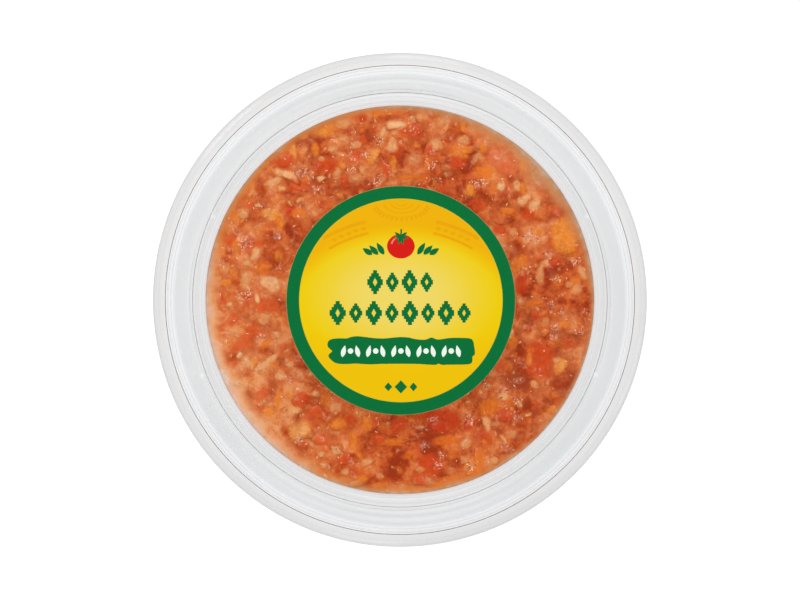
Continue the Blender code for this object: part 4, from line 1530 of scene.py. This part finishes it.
BRUSH_STROKE = [
    (-17.5, -10.3), (-17.3, -9.6), (-16.3, -9.1), (-14.1, -9.0), (-12.9, -9.1), (-11.6, -8.6),
    (-10.2, -8.5), (-8.6, -8.7), (-6.3, -9.0), (-4.0, -9.1), (-1.4, -8.8), (0.2, -8.7), (1.8, -8.8),
    (3.3, -9.2), (5.0, -9.4), (6.2, -9.3), (7.3, -8.7), (8.6, -9.4), (10.5, -9.1), (12.0, -8.9),
    (14.3, -8.9), (16.7, -9.0), (17.3, -9.7), (17.5, -11.1), (17.7, -12.5), (17.5, -13.1), (17.0, -13.3),
    (17.1, -14.3), (16.8, -15.1), (15.5, -15.3), (11.8, -15.3), (9.6, -15.4), (9.0, -15.0), (8.4, -15.4),
    (6.6, -15.3), (3.5, -15.1), (-4.5, -15.1), (-7.6, -15.3), (-10.7, -15.0), (-12.8, -15.2),
    (-15.4, -15.1), (-16.4, -14.4), (-17.3, -13.5), (-17.2, -12.8), (-16.2, -12.1), (-16.8, -11.7),
    (-17.5, -11.0),
]
ORNAMENT_ARCS = [(33.9, 34.5), (36.6, 37.4)]
ORNAMENT_ROW = 35.5           # radius of the row of diamonds between the arcs
SUN_X, SUN_Y = 0.2, 23.2
SUN_RAYS = 6.5
SUN_SQUASH = 0.55
TOMATO_Y = 13.1
TOMATO_RADIUS = 3.3
FOOT_Y = -20.6


def label_paper_and_field(green):
    """The paper with its rounded edge, the green ring, the yellow field and the thin line round it."""
    r = LABEL_RADIUS
    paper = print_ink("label_paper", (176, 166, 120), 0.85)
    keep(label_disc("label_base", [
        (0, PAPER_HIGH), (r - 0.05, PAPER_HIGH), (r - 0.015, PAPER_HIGH - 0.015), (r, PAPER_HIGH - 0.05),
        (r, PAPER_LOW), (0, PAPER_LOW),
    ], paper), "label")
    ring_mesh("label_ring", FIELD_RADIUS - 0.1, r - 0.06, (RING_LOW, RING_HIGH), green, 0.01)
    keep_print(label_disc("label_field", [
        (0, FIELD_HIGH), (FIELD_RADIUS, FIELD_HIGH), (FIELD_RADIUS, FIELD_LOW), (0, FIELD_LOW),
    ], field_ink("label_yellow")))
    lime = print_ink("label_lime", (206, 190, 50))
    ring_mesh("label_line", FIELD_RADIUS - 0.15, FIELD_RADIUS, FIRST, lime)


def label_ornament():
    """Arcs, a row of diamonds and half a sun at the top of the field, in a slightly deeper yellow."""
    deeper = print_ink("label_orange", (232, 164, 10))
    arcs = []
    for side in (-1, 1):
        for inner, outer in ORNAMENT_ARCS:
            arcs.append(arc_band(*ARC_CENTRE, inner, outer, 90 + side * 13, 90 + side * 30))
        for k in range(5):
            x, y = on_arc(*ARC_CENTRE, ORNAMENT_ROW, 90 + side * (14.5 + 3 * k))
            arcs.append(diamond(x, y, 1.5, 0.9))
    prisms("label_arcs", arcs, FIRST, deeper)
    sun = []
    for reach in (1.0, 2.4, 4.1, 6.0):
        sun.append(arc_band(SUN_X, SUN_Y, reach, reach + 0.4, 188, 352, 32, SUN_SQUASH))
    for degrees in range(200, 345, 10):
        x, y = on_arc(SUN_X, SUN_Y, SUN_RAYS, degrees, SUN_SQUASH)
        sun.append(leaf(x, y, 0.8, 0.7, degrees))
    prisms("label_sun", sun, FIRST, deeper)


def label_tomato(green):
    """A tomato with a shine and a calyx, between leaves."""
    red = print_ink("label_red", (212, 32, 26))
    pink = print_ink("label_pink", (236, 132, 110))
    prisms("label_tomato", [circle(0, TOMATO_Y - 0.2, TOMATO_RADIUS, 56, 0.88)], SECOND, red)
    prisms("label_shine", [arc_band(0, TOMATO_Y - 0.2, 2.1, 2.5, 115, 165, 10)], THIRD, pink)
    leaves = []
    for side in (-1, 1):
        for k, reach in enumerate((4.0, 5.4, 6.8)):
            degrees = 90 - side * math.degrees(0.55 + 0.22 * k)
            leaves.append(leaf(side * reach, TOMATO_Y - 2.2, 3.4 - 0.3 * k, 1.35, degrees))
    prisms("label_leaves", leaves, SECOND, green)
    calyx_y = TOMATO_Y + 2.0
    stalk_y = TOMATO_Y + 3.9
    calyx = [leaf(0, calyx_y, 1.9, 0.75, degrees) for degrees in (-8, 38, 142, 188, 250, 290)]
    calyx.append([(-0.18, calyx_y), (0.18, calyx_y), (0.3, stalk_y), (-0.1, stalk_y)])
    prisms("label_calyx", calyx, THIRD, green)


def label_rows(green):
    """Two rows of stepped diamonds, the upper one shorter, each with a golden heart."""
    rows = []
    hearts = []
    for row_y, columns, pitch in ((4.35, 4, 4.1), (-3.0, 8, 4.3)):
        for k in range(columns):
            cx = (k - (columns - 1) / 2) * pitch
            size = 1.0 if k % 2 == 0 else 0.8
            rows.append(stepped_motif(cx, row_y, pitch * 0.9, 5.7, size))
            hearts.append(diamond(cx, row_y, 1.1 * size, 2.0 * size))
    prisms("label_rows", rows, FIRST, green)
    prisms("label_hearts", hearts, SECOND, print_ink("label_gold", (238, 206, 70)))


def label_band(green):
    """A brushed band with white seeds and dots."""
    prisms("label_band", [softened(BRUSH_STROKE)], FIRST, green)
    marks = []
    for k in range(15):
        cx = -14.0 + 2.0 * k
        if k % 3 == 1:
            marks.append(circle(cx, -12.05, 0.66, 20))
        else:
            marks.append(leaf(cx, -13.5, 2.9, 1.15, 90 + (14 if k % 3 else -14)))
    prisms("label_marks", marks, SECOND, print_ink("label_white", (238, 246, 236)))


def build_label():
    """The round sticker, with generic shapes in the print's colours."""
    green = print_ink("label_green", (16, 111, 57))
    label_paper_and_field(green)
    label_ornament()
    label_tomato(green)
    label_rows(green)
    label_band(green)
    foot = [diamond(0, FOOT_Y, 3.0, 3.2), diamond(-3.0, FOOT_Y, 1.9, 2.1), diamond(3.0, FOOT_Y, 1.9, 2.1)]
    prisms("label_foot", foot, FIRST, green)


# Floor, light and camera

FLOOR_HALF = 2000.0
FLOOR_Z = -0.05
FLOOR_GLOW = 0.88
SKY_STRENGTH = 0.78
# The sky's grey from the horizon, at 0, to straight overhead, at 1
SKY = [(0.0, grey(1.0)), (0.35, grey(0.9)), (0.65, grey(0.25)), (0.95, grey(0.07))]
# Softboxes: direction in degrees, distance and height in metres, power in watts
LAMPS = [
    (136, 0.5, 0.62, 2.1), (84, 0.5, 0.6, 1.27), (30, 0.46, 0.64, 0.97),
    (342, 0.5, 0.6, 0.97), (196, 0.46, 0.66, 0.97), (262, 0.52, 0.58, 0.68),
]
LAMP_SIDE = 0.17
LAMP_AIM = Vector((0, 0, 0.02))
# What the camera's middle is off the tub's, in millimetres
CAMERA_X = 0.02
CAMERA_Y = -0.04


def build_floor():
    """A white floor, bright enough that the tub casts only a faint shadow, as in the photograph."""
    graph = new_graph("floor")
    material = graph.finish(graph.shader("Principled", {
        "Base Color": grey(0.2),
        "Roughness": 0.9,
        "Specular IOR Level": 0.0,
        "Emission Color": grey(1.0),
        "Emission Strength": FLOOR_GLOW,
    }))
    corners = [(-1, -1), (1, -1), (1, 1), (-1, 1)]
    verts = [(x * FLOOR_HALF, y * FLOOR_HALF, FLOOR_Z) for x, y in corners]
    make_object("floor", verts, [[0, 1, 2, 3]], material, smooth=False)


def add_softbox(name, position, power):
    """A square area light that faces the tub."""
    data = bpy.data.lights.new(name, "AREA")
    data.shape = "RECTANGLE"
    data.size = LAMP_SIDE
    data.size_y = LAMP_SIDE
    data.energy = power
    lamp = bpy.data.objects.new(name, data)
    lamp.location = position
    lamp.rotation_euler = (LAMP_AIM - Vector(position)).to_track_quat("-Z", "Y").to_euler()
    bpy.context.scene.collection.objects.link(lamp)


def build_light():
    """A white studio, darker straight overhead, with softboxes at the sides."""
    world = bpy.data.worlds.new("studio")
    bpy.context.scene.world = world
    graph = Graph(world)
    split = graph.node("SeparateXYZ", {"Vector": graph.coords["Generated"]})
    sky = graph.ramp(split.outputs["Z"], SKY)
    background = graph.node("Background", {"Color": sky, "Strength": SKY_STRENGTH})
    graph.finish(background.outputs["Background"], "OutputWorld")
    for degrees, reach, height, power in LAMPS:
        c, s = heading(degrees)
        add_softbox(f"lamp_{degrees}", (reach * c, reach * s, height), power)


def build_camera():
    """The photograph's view: straight down, the sticker's top upwards."""
    data = bpy.data.cameras.new("camera")
    data.lens = LENS
    data.sensor_width = SENSOR
    frame_width = PHOTO_WIDTH_PX / OUTER_RADIUS_PX * OUTER_RADIUS
    camera = bpy.data.objects.new("camera", data)
    camera.location = (CAMERA_X * MM, CAMERA_Y * MM, (BRIM_Z + LENS * frame_width / SENSOR) * MM)
    bpy.context.scene.collection.objects.link(camera)
    bpy.context.scene.camera = camera
    bpy.context.scene.view_settings.view_transform = "Standard"


build_tub()
build_lid()
build_salsa()
build_label()
build_floor()
build_light()
build_camera()
